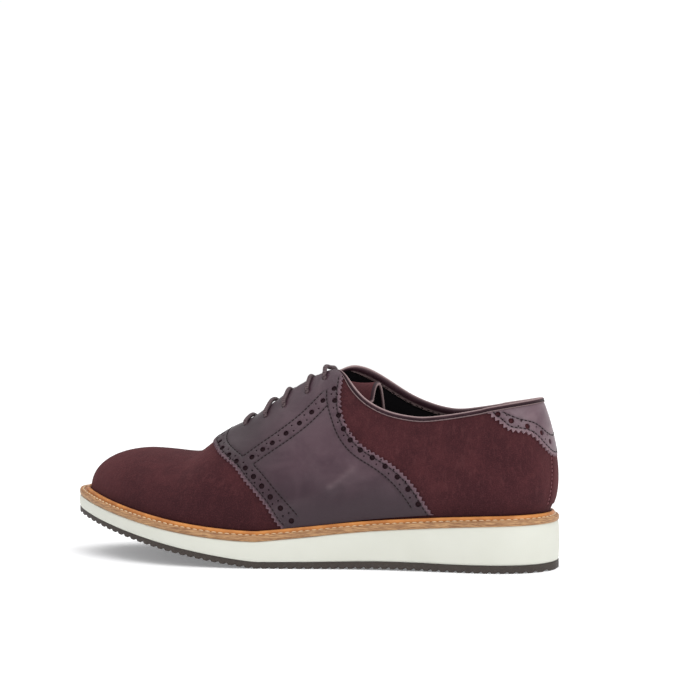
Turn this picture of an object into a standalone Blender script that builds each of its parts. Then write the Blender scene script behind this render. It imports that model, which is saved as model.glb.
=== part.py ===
"""Saddle shoe for the left foot, in metres. +X runs from heel to toe, +Y to the outer side of the foot and +Z up.

The shoe stands on Z = 0, with the middle of its sole at X = Y = 0. Every piece follows two curves: the outline of the
sole, and the last, which is the form of the foot that the upper is pulled over.
"""

import math

import bmesh
import bpy
import numpy as np

MM = 0.001

# Sole
SOLE_LENGTH = 300 * MM
HEEL_WIDTH = 71 * MM
WAIST_WIDTH = 72 * MM
BALL_WIDTH = 107 * MM
TOE_SPRING = 25.5 * MM
WAIST_LIFT = 0.8 * MM
OUTSOLE_HEEL = 4.6 * MM
OUTSOLE_TOE = 3.0 * MM
RIDGE_PITCH = 5.33 * MM
RIDGE_DEPTH = 1.0 * MM
MIDSOLE_HEEL = 22.5 * MM
MIDSOLE_TOE = 7.2 * MM

# Welt, a leather ring with a stitched shelf and a raised bead beside the upper
WELT_THICK = 3.7 * MM
WELT_REACH = 5.8 * MM
WELT_REACH_TOE = 7.0 * MM
WELT_SEAT = 3.0 * MM
BEAD_RISE = 2.1 * MM
BEAD_WIDTH = 2.6 * MM

# Last and upper
INSTEP_RISE = 97 * MM
HEEL_RISE = 66.3 * MM
HEEL_BULGE = 5.2 * MM
UPPER_WALL = 2.2 * MM
FACING_GAP_OUTER = 12 * MM
FACING_GAP_INNER = 7 * MM
THROAT_GAP = 3 * MM

# Pieces on and in the upper
SADDLE_THICK = 1.2 * MM
STRIP_THICK = 0.8 * MM
STRIP_WIDTH = 16 * MM
BINDING_THICK = 2.6 * MM
TONGUE_THICK = 2.2 * MM
TONGUE_HALF_WIDTH = 17 * MM
INSOLE_RAISED = 1.5 * MM
LACE_THICK = 2.6 * MM
GAP = 0.3 * MM

# Where things are along the sole, as shares of SOLE_LENGTH from the back of the heel
WAIST_START = 0.14
WAIST_END = 0.48
SPRING_START = 0.56
SPRING_POWER = 1.2
HEEL_CENTRE = 0.117
TOE_CENTRE = 0.833
FACING_TOP = 0.425
VAMP_POINT = 0.635
BULGE_PEAK = 0.30  # height of the fullest line, as a share of the last's rise there

# Outline of the sole, heel to toe. Widths to each side are shares of the named width.
#   along   outer   inner   width
SOLE_ROWS = (
    (0.027, 0.318, 0.318, HEEL_WIDTH),
    (0.100, 0.483, 0.479, HEEL_WIDTH),
    (0.200, 0.507, 0.493, HEEL_WIDTH),
    (0.300, 0.514, 0.465, WAIST_WIDTH),
    (0.400, 0.556, 0.458, WAIST_WIDTH),
    (0.500, 0.434, 0.350, BALL_WIDTH),
    (0.600, 0.491, 0.421, BALL_WIDTH),
    (0.667, 0.508, 0.467, BALL_WIDTH),
    (0.720, 0.500, 0.487, BALL_WIDTH),
    (0.780, 0.460, 0.488, BALL_WIDTH),
    (0.850, 0.374, 0.462, BALL_WIDTH),
    (0.910, 0.265, 0.413, BALL_WIDTH),
    (0.960, 0.138, 0.336, BALL_WIDTH),
    (0.985, 0.050, 0.254, BALL_WIDTH),
)
TOE_TIP_ACROSS = -0.100  # share of BALL_WIDTH, towards the inner side

# Thickness of the midsole: place along, share of the way from MIDSOLE_TOE to MIDSOLE_HEEL
WEDGE_ROWS = (
    (0.00, 1.03),
    (0.10, 0.99),
    (0.17, 0.93),
    (0.28, 0.76),
    (0.40, 0.59),
    (0.49, 0.43),
    (0.58, 0.27),
    (0.67, 0.15),
    (0.80, 0.05),
    (0.97, 0.00),
)

# The last along its spine. Rise over the welt is a share of INSTEP_RISE, across a share of BALL_WIDTH, roundness is
# the power of the section's curve, and bulge a share of HEEL_BULGE.
#   along   rise    across  outer   inner   bulge
LAST_ROWS = (
    (0.117, 0.886, 0.000, 2.60, 2.60, 1.00),
    (0.200, 0.908, -0.005, 2.35, 2.35, 0.72),
    (0.300, 0.943, -0.020, 2.15, 2.10, 0.45),
    (0.367, 0.972, -0.033, 2.00, 1.90, 0.38),
    (0.417, 0.992, -0.038, 1.90, 1.80, 0.36),
    (0.452, 0.970, -0.040, 1.85, 1.75, 0.36),
    (0.489, 0.916, -0.040, 1.85, 1.75, 0.38),
    (0.530, 0.845, -0.042, 1.85, 1.75, 0.40),
    (0.570, 0.765, -0.046, 1.85, 1.80, 0.42),
    (0.618, 0.652, -0.055, 1.90, 1.85, 0.42),
    (0.657, 0.584, -0.064, 1.95, 1.90, 0.40),
    (0.697, 0.494, -0.073, 2.00, 2.00, 0.36),
    (0.727, 0.411, -0.080, 2.08, 2.05, 0.32),
    (0.760, 0.379, -0.088, 2.15, 2.15, 0.18),
    (0.795, 0.370, -0.095, 2.20, 2.20, 0.06),
    (0.833, 0.357, -0.100, 2.25, 2.25, 0.00),
)

# Collar's top edge: place along, rise over the welt to each side as a share of HEEL_RISE
COLLAR_ROWS = (
    (0.000, 0.970, 0.970),
    (0.067, 0.940, 0.934),
    (0.129, 0.905, 0.904),
    (0.183, 0.875, 0.880),
    (0.217, 0.862, 0.877),
    (0.250, 0.859, 0.908),
    (0.283, 0.882, 0.967),
    (0.317, 0.924, 1.054),
    (0.343, 0.977, 1.144),
    (0.367, 1.046, 1.232),
    (0.383, 1.108, 1.284),
    (0.400, 1.192, 1.327),
    (0.413, 1.263, 1.350),
    (0.425, 1.347, 1.404),
)

# How far the tongue has fallen from the last: place along, share of INSTEP_RISE
TONGUE_ROWS = (
    (0.360, 0.105),
    (0.385, 0.120),
    (0.410, 0.118),
    (0.440, 0.085),
    (0.480, 0.035),
    (0.520, 0.008),
    (0.560, 0.000),
    (0.680, 0.000),
)

# Edges of the saddle and of the heel tab, seen from the side: place along, height over the welt as a share of INSTEP_RISE
#   along   height
SADDLE_FRONT_ROWS = (
    (0.713, 0.531),
    (0.698, 0.514),
    (0.687, 0.489),
    (0.675, 0.476),
    (0.661, 0.452),
    (0.639, 0.420),
    (0.620, 0.390),
    (0.600, 0.334),
    (0.566, 0.235),
    (0.540, 0.129),
    (0.524, 0.040),
    (0.514, 0.000),
)
SADDLE_REAR_ROWS = (
    (0.218, 0.000),
    (0.225, 0.040),
    (0.232, 0.080),
    (0.253, 0.190),
    (0.277, 0.282),
    (0.318, 0.383),
    (0.365, 0.480),
    (0.390, 0.568),
    (0.407, 0.662),
    (0.415, 0.752),
    (0.417, 0.834),
    (0.420, 0.940),
)
TAB_LOWER_ROWS = (
    (0.130, 0.666),
    (0.121, 0.626),
    (0.115, 0.608),
    (0.096, 0.560),
    (0.082, 0.524),
    (0.059, 0.505),
    (0.042, 0.490),
    (0.025, 0.439),
    (0.007, 0.361),
    (-0.007, 0.324),
)
STRIP_TOP = 0.320  # share of INSTEP_RISE over the welt, just below the heel tab

# Lace bars: places along, and the reach from a facing's edge down to the eyelets
LACE_PLACES = (0.622, 0.573, 0.534, 0.488, 0.456)
EYELET_REACH = 9.0 * MM
LACE_HUMP = 1.0 * MM

BURGUNDY_SUEDE = (0.079, 0.020, 0.026, 1)
PLUM_LEATHER = (0.087, 0.055, 0.068, 1)
LACE_CORD = (0.06, 0.035, 0.045, 1)
TAN_LEATHER = (0.51, 0.21, 0.06, 1)
WHITE_FOAM = (0.78, 0.79, 0.73, 1)
DARK_RUBBER = (0.06, 0.048, 0.044, 1)
INSOLE_LEATHER = (0.02, 0.018, 0.018, 1)


def spline_moments(knots, values, closed_length=None):
    """Second derivatives of the cubic spline through the knots, natural at its ends or closed round."""
    count = len(knots)
    steps = np.diff(knots)
    if closed_length is not None:
        steps = np.append(steps, closed_length - knots[-1] + knots[0])
    matrix = np.zeros((count, count))
    right = np.zeros(count)
    for i in range(count):
        if closed_length is None and i in (0, count - 1):
            matrix[i, i] = 1
            continue
        before, after = steps[i - 1], steps[i % len(steps)]
        last, following = (i - 1) % count, (i + 1) % count
        matrix[i, last] += before
        matrix[i, i] += 2 * (before + after)
        matrix[i, following] += after
        right[i] = 6 * ((values[following] - values[i]) / after - (values[i] - values[last]) / before)
    return np.linalg.solve(matrix, right)


def spline(knots, values, moments, at, closed_length=None):
    """The spline's value at one place. Outside an open spline's knots it keeps the end value."""
    if closed_length is None:
        at = min(max(at, knots[0]), knots[-1])
    else:
        at = (at - knots[0]) % closed_length + knots[0]
    i = int(np.clip(np.searchsorted(knots, at, side="right") - 1, 0, len(knots) - 1))
    if closed_length is None:
        i = min(i, len(knots) - 2)
    following = (i + 1) % len(knots)
    end = knots[i + 1] if i + 1 < len(knots) else knots[0] + closed_length
    step = end - knots[i]
    a, b = (end - at) / step, (at - knots[i]) / step
    bend = (a**3 - a) * moments[i] + (b**3 - b) * moments[following]
    return a * values[i] + b * values[following] + bend * step**2 / 6


class Table:
    """Columns of numbers over their first column, joined by smooth curves."""

    def __init__(self, rows):
        columns = np.array([[float(value) for value in row] for row in rows]).T
        self.knots = columns[0]
        self.columns = columns[1:]
        self.moments = [spline_moments(self.knots, column) for column in self.columns]

    def at(self, place, column=0):
        return spline(self.knots, self.columns[column], self.moments[column], place)


class Outline:
    """The closed outline of the sole, over an angle that is 0 at the back of the heel and pi at the tip of the toe."""

    def __init__(self):
        rows = [(math.acos(1 - 2 * along), outer * width, inner * width) for along, outer, inner, width in SOLE_ROWS]
        outer_side = [(angle, outer) for angle, outer, _ in rows]
        inner_side = [(2 * math.pi - angle, -inner) for angle, _, inner in reversed(rows)]
        points = [(0.0, 0.0)] + outer_side + [(math.pi, TOE_TIP_ACROSS * BALL_WIDTH)] + inner_side
        self.knots, self.values = np.array(points).T
        self.moments = spline_moments(self.knots, self.values, 2 * math.pi)

    def point(self, angle):
        across = spline(self.knots, self.values, self.moments, angle, 2 * math.pi)
        return np.array([SOLE_LENGTH * (1 - math.cos(angle)) / 2, across])

    def outward(self, angle):
        step = 1e-4
        along, across = self.point(angle + step) - self.point(angle - step)
        return np.array([-across, along]) / math.hypot(along, across)

    def inset(self, angle, distance):
        return self.point(angle) - distance * self.outward(angle)

    def across_at(self, along, side):
        angle = math.acos(1 - 2 * min(max(along, 0), 1))
        return self.point(angle if side > 0 else 2 * math.pi - angle)[1]


OUTLINE = Outline()
WEDGE = Table(WEDGE_ROWS)
LAST = Table(LAST_ROWS)
COLLAR = Table(COLLAR_ROWS)
TONGUE = Table(TONGUE_ROWS)
RING = np.array([OUTLINE.point(angle) for angle in np.linspace(0, 2 * math.pi, 721)])
MIDDLE = (RING.min(axis=0) + RING.max(axis=0)) / 2


def placed(x, y, z):
    """Moves a point from heel coordinates to the shoe's own frame."""
    return (x - MIDDLE[0], y - MIDDLE[1], z)


def ground(x):
    """Height of the outsole's lowest line: flat at heel and ball, a slight arch between them, sprung at the toe."""
    along = x / SOLE_LENGTH
    if WAIST_START < along < WAIST_END:
        share = (along - WAIST_START) / (WAIST_END - WAIST_START)
        return WAIST_LIFT * math.sin(math.pi * share) ** 2
    if along > SPRING_START:
        share = (along - SPRING_START) / (1 - SPRING_START)
        return TOE_SPRING * share**SPRING_POWER
    return 0.0


def midsole_bottom(x):
    return ground(x) + OUTSOLE_HEEL + (OUTSOLE_TOE - OUTSOLE_HEEL) * x / SOLE_LENGTH


def midsole_top(x):
    return midsole_bottom(x) + MIDSOLE_TOE + (MIDSOLE_HEEL - MIDSOLE_TOE) * WEDGE.at(x / SOLE_LENGTH)


def shelf(x):
    """Height of the welt's flat shelf, where the upper stands."""
    return midsole_top(x) + GAP + WELT_THICK


def welt_reach(angle):
    """How far the upper stands in from the edge of the sole: a little more at the tip of the toe."""
    return WELT_REACH + (WELT_REACH_TOE - WELT_REACH) * max(-math.cos(angle), 0.0) ** 6


def spine_along(angle):
    """Where on the spine a section through this angle of the outline ends: sections fan out at heel and toe."""
    along = (1 - math.cos(angle)) / 2
    heel_end, toe_end = 2 * HEEL_CENTRE, 2 * TOE_CENTRE - 1
    if along < heel_end:
        return HEEL_CENTRE + (along / heel_end) ** 2 * (heel_end - HEEL_CENTRE)
    if along > toe_end:
        return TOE_CENTRE - ((1 - along) / (1 - toe_end)) ** 2 * (TOE_CENTRE - toe_end)
    return along


def side_of(angle):
    return 1 if angle % (2 * math.pi) <= math.pi else -1


class Section:
    """One section of the last, from the feather line at the welt up to the spine."""

    def __init__(self, angle):
        self.angle = angle
        self.foot = OUTLINE.inset(angle, welt_reach(angle))
        self.along = spine_along(angle)
        self.top = np.array([self.along * SOLE_LENGTH, LAST.at(self.along, 1) * BALL_WIDTH])
        self.foot_z = shelf(self.foot[0]) + GAP
        self.top_z = shelf(self.top[0]) + LAST.at(self.along, 0) * INSTEP_RISE
        self.power = LAST.at(self.along, 2 if side_of(angle) > 0 else 3)
        self.bulge = LAST.at(self.along, 4) * HEEL_BULGE
        self.span = self.foot - self.top
        self.reach = np.linalg.norm(self.span)

    def point(self, turn):
        """A point of the section: turn is 0 at the feather line and pi / 2 on the spine."""
        level = max(math.sin(turn), 0.0) ** (2 / self.power)
        share = max(math.cos(turn), 0.0) ** (2 / self.power)
        fullness = level / BULGE_PEAK
        bulge = self.bulge * fullness * math.exp(1 - fullness) * share
        x, y = self.top + self.span * (share + bulge / self.reach)
        return np.array([x, y, self.foot_z + (self.top_z - self.foot_z) * level])

    def normal(self, turn):
        """Unit normal of the last, away from the foot."""
        step = 1e-3
        across = Section(self.angle + step).point(turn) - Section(self.angle - step).point(turn)
        up = self.point(min(turn + step, math.pi / 2)) - self.point(max(turn - step, 0.0))
        normal = np.cross(up, across)
        return normal / np.linalg.norm(normal)

    def turn_at_rise(self, rise):
        level = min(rise / (self.top_z - self.foot_z), 1.0)
        return math.asin(level ** (self.power / 2))

    def turn_at_reach(self, distance):
        return math.acos(min(distance / self.reach, 1.0) ** (self.power / 2))


def open_turn(section):
    """How far up its section the upper reaches: to the collar, to the edge of a facing, or over the top."""
    along = (1 - math.cos(section.angle)) / 2
    side = side_of(section.angle)
    if along >= VAMP_POINT:
        return math.pi / 2
    if along >= FACING_TOP:
        share = (VAMP_POINT - along) / (VAMP_POINT - FACING_TOP)
        wide = FACING_GAP_OUTER if side > 0 else FACING_GAP_INNER
        return section.turn_at_reach(THROAT_GAP + share * (wide - THROAT_GAP))
    return section.turn_at_rise(COLLAR.at(along, 0 if side > 0 else 1) * HEEL_RISE)


def angle_at(along):
    return math.acos(1 - 2 * along)


def spread(start, end, count):
    """Angles between two places along the sole, the first one left in and the last one out."""
    return list(np.linspace(angle_at(start), angle_at(end), count, endpoint=False))


def outer_angles():
    """Angles of the sections on the outer side, from the back of the heel to the tip of the toe."""
    return (
        spread(0, HEEL_CENTRE, 5)
        + spread(HEEL_CENTRE, FACING_TOP, 13)
        + spread(FACING_TOP, VAMP_POINT, 8)
        + spread(VAMP_POINT, TOE_CENTRE, 8)
        + spread(TOE_CENTRE, 1, 8)
        + [math.pi]
    )


def all_angles():
    outer = outer_angles()
    return outer + [2 * math.pi - angle for angle in reversed(outer[1:-1])]


OVER_BEAD = 1.3 * MM
BINDING_GAP = 0.4 * MM
BINDING_LAST = 0.6  # share of the last step before a facing's corner
UPPER_LEVELS = 10
TONGUE_START = VAMP_POINT + 0.04
TONGUE_END = FACING_TOP - 0.062
TONGUE_STEPS = 18
TONGUE_COLUMNS = 5
SLAB_END_ANGLE = 0.02


def last_surface():
    """The upper's outer surface as merged points, unit normals and faces, open at collar, throat and feather line."""
    bm = bmesh.new()
    columns = []
    for angle in all_angles():
        section = Section(angle)
        top_turn = open_turn(section)
        turns = [top_turn * level / UPPER_LEVELS for level in range(UPPER_LEVELS + 1)]
        columns.append([bm.verts.new(section.point(turn)) for turn in turns])
    for near, far in zip(columns, columns[1:] + columns[:1]):
        for low in range(UPPER_LEVELS):
            bm.faces.new((near[low + 1], far[low + 1], far[low], near[low]))
    bmesh.ops.remove_doubles(bm, verts=bm.verts, dist=0.01 * MM)
    bmesh.ops.dissolve_degenerate(bm, edges=bm.edges, dist=0.01 * MM)
    bmesh.ops.triangulate(bm, faces=bm.faces)
    bm.normal_update()
    bm.verts.index_update()
    points = np.array([vertex.co for vertex in bm.verts])
    normals = np.array([vertex.normal for vertex in bm.verts])
    faces = [[vertex.index for vertex in face.verts] for face in bm.faces]
    bm.free()
    return points, normals, faces


def mesh_object(name, points, faces, collection, material=None):
    mesh = bpy.data.meshes.new(name)
    mesh.from_pydata([placed(*point) for point in points], [], faces)
    bm = bmesh.new()
    bm.from_mesh(mesh)
    if bm.calc_volume(signed=True) < 0:
        bmesh.ops.reverse_faces(bm, faces=bm.faces)
    bm.to_mesh(mesh)
    bm.free()
    item = bpy.data.objects.new(name, mesh)
    collection.objects.link(item)
    if material:
        mesh.materials.append(material)
    return item


def boundary_edges(faces):
    """Edges with one face, as pairs in that face's own direction."""
    seen = {}
    for face in faces:
        for a, b in zip(face, face[1:] + face[:1]):
            key = (min(a, b), max(a, b))
            seen[key] = None if key in seen else (a, b)
    return [edge for edge in seen.values() if edge]


def shell(name, surface, near, far, collection, material=None):
    """A closed wall between two offsets from the surface, far being the outer one."""
    points, normals, faces = surface
    count = len(points)
    both = np.vstack([points + normals * far, points + normals * near])
    walls = [list(face) for face in faces] + [[index + count for index in reversed(face)] for face in faces]
    walls += [[b, a, a + count, b + count] for a, b in boundary_edges(faces)]
    return mesh_object(name, both, walls, collection, material)


def loft(name, rings, collection, material, closed):
    """Skins rings of equal length. A closed loft joins its last ring to its first, an open one gets end caps."""
    points = [point for ring in rings for point in ring]
    size = len(rings[0])
    faces = []
    last = len(rings) if closed else len(rings) - 1
    for i in range(last):
        here, there = i * size, (i + 1) % len(rings) * size
        for j in range(size):
            following = (j + 1) % size
            faces.append([here + j, there + j, there + following, here + following])
    if not closed:
        faces.append(list(range(size)))
        faces.append([(len(rings) - 1) * size + j for j in reversed(range(size))])
    return mesh_object(name, points, faces, collection, material)


def make_material(name, colour, roughness):
    material = bpy.data.materials.new(name)
    material.use_nodes = True
    shader = material.node_tree.nodes["Principled BSDF"]
    shader.inputs["Base Color"].default_value = colour
    shader.inputs["Roughness"].default_value = roughness
    shader.inputs["Metallic"].default_value = 0
    return material


def slab_rings(inset_at, bottom, top):
    """Four-cornered sections of a slab between the two sides of the outline, set in. bottom and top give heights."""
    rings = []
    first = SLAB_END_ANGLE
    for angle in [first] + outer_angles()[1:-1] + [math.pi - first]:
        outer = OUTLINE.inset(angle, inset_at(angle))
        inner = OUTLINE.inset(2 * math.pi - angle, inset_at(angle))
        corners = ((inner, bottom), (outer, bottom), (outer, top), (inner, top))
        rings.append([(*corner, height(corner[0])) for corner, height in corners])
    return rings


def make_outsole(collection, material):
    """A sheet whose underside has ridges across: each rises to a flat land, then falls back to the groove."""
    end = 0.1 * MM
    stations = [(end, 1.0)]
    count = int((SOLE_LENGTH - 2 * end) / RIDGE_PITCH)
    margin = (SOLE_LENGTH - count * RIDGE_PITCH) / 2
    for near_end in (0.5 * MM, 1.2 * MM):
        stations.append((near_end, 1.0))
    for ridge in range(count):
        start = margin + ridge * RIDGE_PITCH
        for share, depth in ((0.0, 1.0), (0.15, 0.0), (0.55, 0.0), (0.95, 1.0)):
            stations.append((start + share * RIDGE_PITCH, depth))
    for near_end in (1.2 * MM, 0.5 * MM, end):
        stations.append((SOLE_LENGTH - near_end, 1.0))
    stations = sorted((x, depth) for x, depth in stations if end <= x <= SOLE_LENGTH - end)
    kept = [stations[0]]
    for x, depth in stations[1:]:
        if x - kept[-1][0] > 0.2 * MM:
            kept.append((x, depth))
    rings = []
    for x, depth in kept:
        outer, inner = OUTLINE.across_at(x / SOLE_LENGTH, 1), OUTLINE.across_at(x / SOLE_LENGTH, -1)
        low = ground(x) + RIDGE_DEPTH * depth
        high = midsole_bottom(x) - GAP
        rings.append([(x, inner, low), (x, outer, low), (x, outer, high), (x, inner, high)])
    return loft("outsole", rings, collection, material, closed=False)


def make_midsole(collection, material):
    return loft("midsole", slab_rings(lambda angle: 0.0, midsole_bottom, midsole_top), collection, material, closed=False)


def make_welt(collection, material):
    """A ring on the midsole: shelf outside, a bead beside the upper, and a seat that runs under the upper's wall."""
    rings = []
    for angle in all_angles():
        out = OUTLINE.outward(angle)
        section = Section(angle)
        lean = section.point(section.turn_at_rise(BEAD_RISE))[:2] - section.foot
        reach = welt_reach(angle)
        bead = reach - max(float(np.dot(lean, out)), 0.0) - GAP
        profile = (
            (0.0, 0.0),
            (0.0, WELT_THICK - 0.5 * MM),
            (0.5 * MM, WELT_THICK),
            (bead - BEAD_WIDTH, WELT_THICK),
            (bead - 0.75 * BEAD_WIDTH, WELT_THICK + 0.8 * BEAD_RISE),
            (bead - 0.4 * BEAD_WIDTH, WELT_THICK + BEAD_RISE),
            (bead, WELT_THICK + 0.7 * BEAD_RISE),
            (reach - GAP, WELT_THICK),
            (reach + WELT_SEAT, WELT_THICK),
            (reach + WELT_SEAT, 0.0),
        )
        ring = []
        for inset, height in profile:
            x, y = OUTLINE.inset(angle, inset)
            ring.append((x, y, midsole_top(x) + GAP + height))
        rings.append(ring)
    return loft("welt", rings, collection, material, closed=True)


def make_insole(collection, material):
    rings = slab_rings(lambda angle: welt_reach(angle) + WELT_SEAT + GAP, lambda x: midsole_top(x) + GAP, lambda x: shelf(x) + INSOLE_RAISED)
    return loft("insole", rings, collection, material, closed=False)


def grid_normals(grid):
    """Unit normals of a grid of points, away from its underside."""
    down_rows = np.gradient(grid, axis=0)
    across = np.gradient(grid, axis=1)
    normals = np.cross(down_rows, across)
    normals /= np.linalg.norm(normals, axis=2)[:, :, None]
    return normals * np.sign(normals[len(grid) // 2, grid.shape[1] // 2, 2])


def make_tongue(collection, material):
    """A curved strip under the facings, from in front of the throat to past their top, where it falls inwards."""
    grid, drops = [], []
    for along in np.linspace(TONGUE_START, TONGUE_END, TONGUE_STEPS):
        drops.append((0, 0, TONGUE.at(along) * INSTEP_RISE))
        outer, inner = Section(angle_at(along)), Section(2 * math.pi - angle_at(along))
        lines = []
        for section in (outer, inner):
            low = section.turn_at_reach(TONGUE_HALF_WIDTH)
            lines.append([section.point(turn) for turn in np.linspace(low, math.pi / 2, TONGUE_COLUMNS)])
        grid.append(lines[0] + lines[1][-2::-1])
    grid = np.array(grid)
    normals = grid_normals(grid)
    top = grid - normals * (UPPER_WALL + 2 * GAP) - np.array(drops)[:, None, :]
    under = top - grid_normals(top) * TONGUE_THICK
    rings = [[*map(tuple, row)] + [*map(tuple, low[::-1])] for row, low in zip(top, under)]
    return loft("tongue", rings, collection, material, closed=False)


def make_prism(name, outline, collection):
    """A cutter: an outline of (along, height over the welt) rows, run right across the shoe."""
    far = BALL_WIDTH
    points = []
    for across in (-far, far):
        for along, height in outline:
            x = along * SOLE_LENGTH
            points.append((x, across, shelf(x) + height))
    count = len(outline)
    faces = [list(range(count)), list(range(2 * count - 1, count - 1, -1))]
    faces += [[i, (i + 1) % count, (i + 1) % count + count, i + count] for i in range(count)]
    return as_cutter(mesh_object(name, points, faces, collection))


def make_box(name, low, high, collection):
    corners = [(x, y, z) for x in (low[0], high[0]) for y in (low[1], high[1]) for z in (low[2], high[2])]
    faces = [[0, 1, 3, 2], [4, 6, 7, 5], [0, 4, 5, 1], [2, 3, 7, 6], [0, 2, 6, 4], [1, 5, 7, 3]]
    return as_cutter(mesh_object(name, corners, faces, collection))


def as_cutter(item):
    item.hide_render = True
    item.display_type = "WIRE"
    return item


def keep_inside(item, cutter):
    modifier = item.modifiers.new("outline", "BOOLEAN")
    modifier.operation = "INTERSECT"
    modifier.solver = "EXACT"
    modifier.object = cutter


def heights(rows):
    return [(along, share * INSTEP_RISE) for along, share in rows]


def welt_line(start, end, count):
    """The line just over the welt's bead, between two places along."""
    return [(along, BEAD_RISE + OVER_BEAD) for along in np.linspace(start, end, count)]


def make_saddle(surface, collection, cutters, material):
    """The leather piece across the instep: both facings, joined in front of the throat."""
    item = shell("saddle", surface, GAP, GAP + SADDLE_THICK, collection, material)
    front = [row for row in heights(SADDLE_FRONT_ROWS) if row[1] > BEAD_RISE + OVER_BEAD]
    rear = [row for row in heights(SADDLE_REAR_ROWS) if row[1] > BEAD_RISE + OVER_BEAD]
    low = welt_line(front[-1][0] - 0.01, rear[0][0] + 0.002, 8)
    top = [(rear[-1][0], 2 * INSTEP_RISE), (SADDLE_FRONT_ROWS[0][0], 2 * INSTEP_RISE)]
    keep_inside(item, make_prism("saddle_outline", front + low + rear + top, cutters))


def make_heel_tab(surface, collection, cutters, material):
    item = shell("heel_tab", surface, GAP, GAP + SADDLE_THICK, collection, material)
    lower = heights(TAB_LOWER_ROWS)
    top = [(lower[-1][0], 2 * HEEL_RISE), (lower[0][0], 2 * HEEL_RISE)]
    keep_inside(item, make_prism("heel_tab_outline", lower + top, cutters))


def make_back_strip(surface, collection, cutters, material):
    """The strip that covers the seam at the back of the heel, from the heel tab down to the welt."""
    item = shell("back_strip", surface, GAP, GAP + STRIP_THICK, collection, material)
    low = (-HEEL_WIDTH, -STRIP_WIDTH / 2, shelf(0) + BEAD_RISE + OVER_BEAD)
    high = (HEEL_CENTRE * SOLE_LENGTH, STRIP_WIDTH / 2, shelf(0) + STRIP_TOP * INSTEP_RISE)
    keep_inside(item, make_box("back_strip_outline", low, high, cutters))


def make_tube(name, path, thick, collection, material):
    """A round cord through the points, as a curve with filled ends."""
    curve = bpy.data.curves.new(name, "CURVE")
    curve.dimensions = "3D"
    curve.bevel_depth = thick / 2
    curve.bevel_resolution = 2
    curve.use_fill_caps = True
    line = curve.splines.new("POLY")
    line.points.add(len(path) - 1)
    for point, place in zip(line.points, path):
        point.co = (*placed(*place), 1)
    item = bpy.data.objects.new(name, curve)
    curve.materials.append(material)
    collection.objects.link(item)
    return item


def rim_line():
    """Points of the collar's rim with the wall's normal there, from the outer facing round the heel to the inner one."""
    outer = [angle for angle in outer_angles() if angle <= angle_at(FACING_TOP) + 1e-6]
    line = []
    for angle in [*reversed(outer), *(2 * math.pi - angle for angle in outer[1:])]:
        section = Section(angle)
        turn = open_turn(section)
        line.append(np.array([section.point(turn), section.normal(turn)]))
    line[0] = line[1] + BINDING_LAST * (line[0] - line[1])
    line[-1] = line[-2] + BINDING_LAST * (line[-1] - line[-2])
    return line


def make_collar_binding(collection, material):
    """A rolled leather edge that sits on the collar's rim."""
    line = rim_line()
    middles = np.array([point - normal * UPPER_WALL / 2 for point, normal in line])
    tangents = np.gradient(middles, axis=0)
    path = []
    for middle, tangent, (_, normal) in zip(middles, tangents, line):
        up = np.cross(normal, tangent)
        up *= math.copysign(1, up[2]) / np.linalg.norm(up)
        path.append(middle + up * (BINDING_THICK / 2 + BINDING_GAP))
    make_tube("collar_binding", path, BINDING_THICK, collection, material)


def make_lace_bar(number, along, collection, material):
    """One straight bar of the lace, over both facings from eyelet to eyelet."""
    lift = SADDLE_THICK + 2 * GAP + LACE_THICK / 2
    halves = []
    for angle in (angle_at(along), 2 * math.pi - angle_at(along)):
        section = Section(angle)
        edge = open_turn(section)
        edge_reach = math.cos(edge) ** (2 / section.power) * section.reach
        points = []
        for step in (1.0, 0.66, 0.33, 0.0):
            turn = section.turn_at_reach(edge_reach + step * EYELET_REACH)
            points.append(section.point(turn) + section.normal(turn) * lift)
        halves.append(points)
    peak = (halves[0][-1] + halves[1][-1]) / 2 + np.array([0, 0, LACE_HUMP])
    make_tube(f"lace_bar_{number}", halves[0] + [peak] + halves[1][::-1], LACE_THICK, collection, material)


def main():
    for item in list(bpy.data.objects):
        bpy.data.objects.remove(item, do_unlink=True)
    shoe = bpy.data.collections.new("saddle_shoe")
    bpy.context.scene.collection.children.link(shoe)
    cutters = bpy.data.collections.new("cutters")
    bpy.context.scene.collection.children.link(cutters)
    cutters.hide_render = True

    suede = make_material("burgundy_suede", BURGUNDY_SUEDE, 0.9)
    plum = make_material("plum_leather", PLUM_LEATHER, 0.4)
    lace = make_material("lace_cord", LACE_CORD, 0.7)
    tan = make_material("tan_leather", TAN_LEATHER, 0.5)
    foam = make_material("white_foam", WHITE_FOAM, 0.6)
    rubber = make_material("dark_rubber", DARK_RUBBER, 0.7)
    lining = make_material("insole_leather", INSOLE_LEATHER, 0.6)

    make_outsole(shoe, rubber)
    make_midsole(shoe, foam)
    make_welt(shoe, tan)
    make_insole(shoe, lining)
    surface = last_surface()
    shell("upper", surface, -UPPER_WALL, 0, shoe, suede)
    make_tongue(shoe, suede)
    make_saddle(surface, shoe, cutters, plum)
    make_heel_tab(surface, shoe, cutters, plum)
    make_back_strip(surface, shoe, cutters, suede)
    make_collar_binding(shoe, plum)
    for number, along in enumerate(LACE_PLACES, 1):
        make_lace_bar(number, along, shoe, lace)


main()
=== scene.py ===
"""Dresses the saddle shoe: suede upper, leather saddle with punched holes, lace, welt, foam and tread."""

import math

import bmesh
import bpy
import numpy as np
from mathutils import Matrix, Vector
from mathutils.geometry import delaunay_2d_cdt


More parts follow.
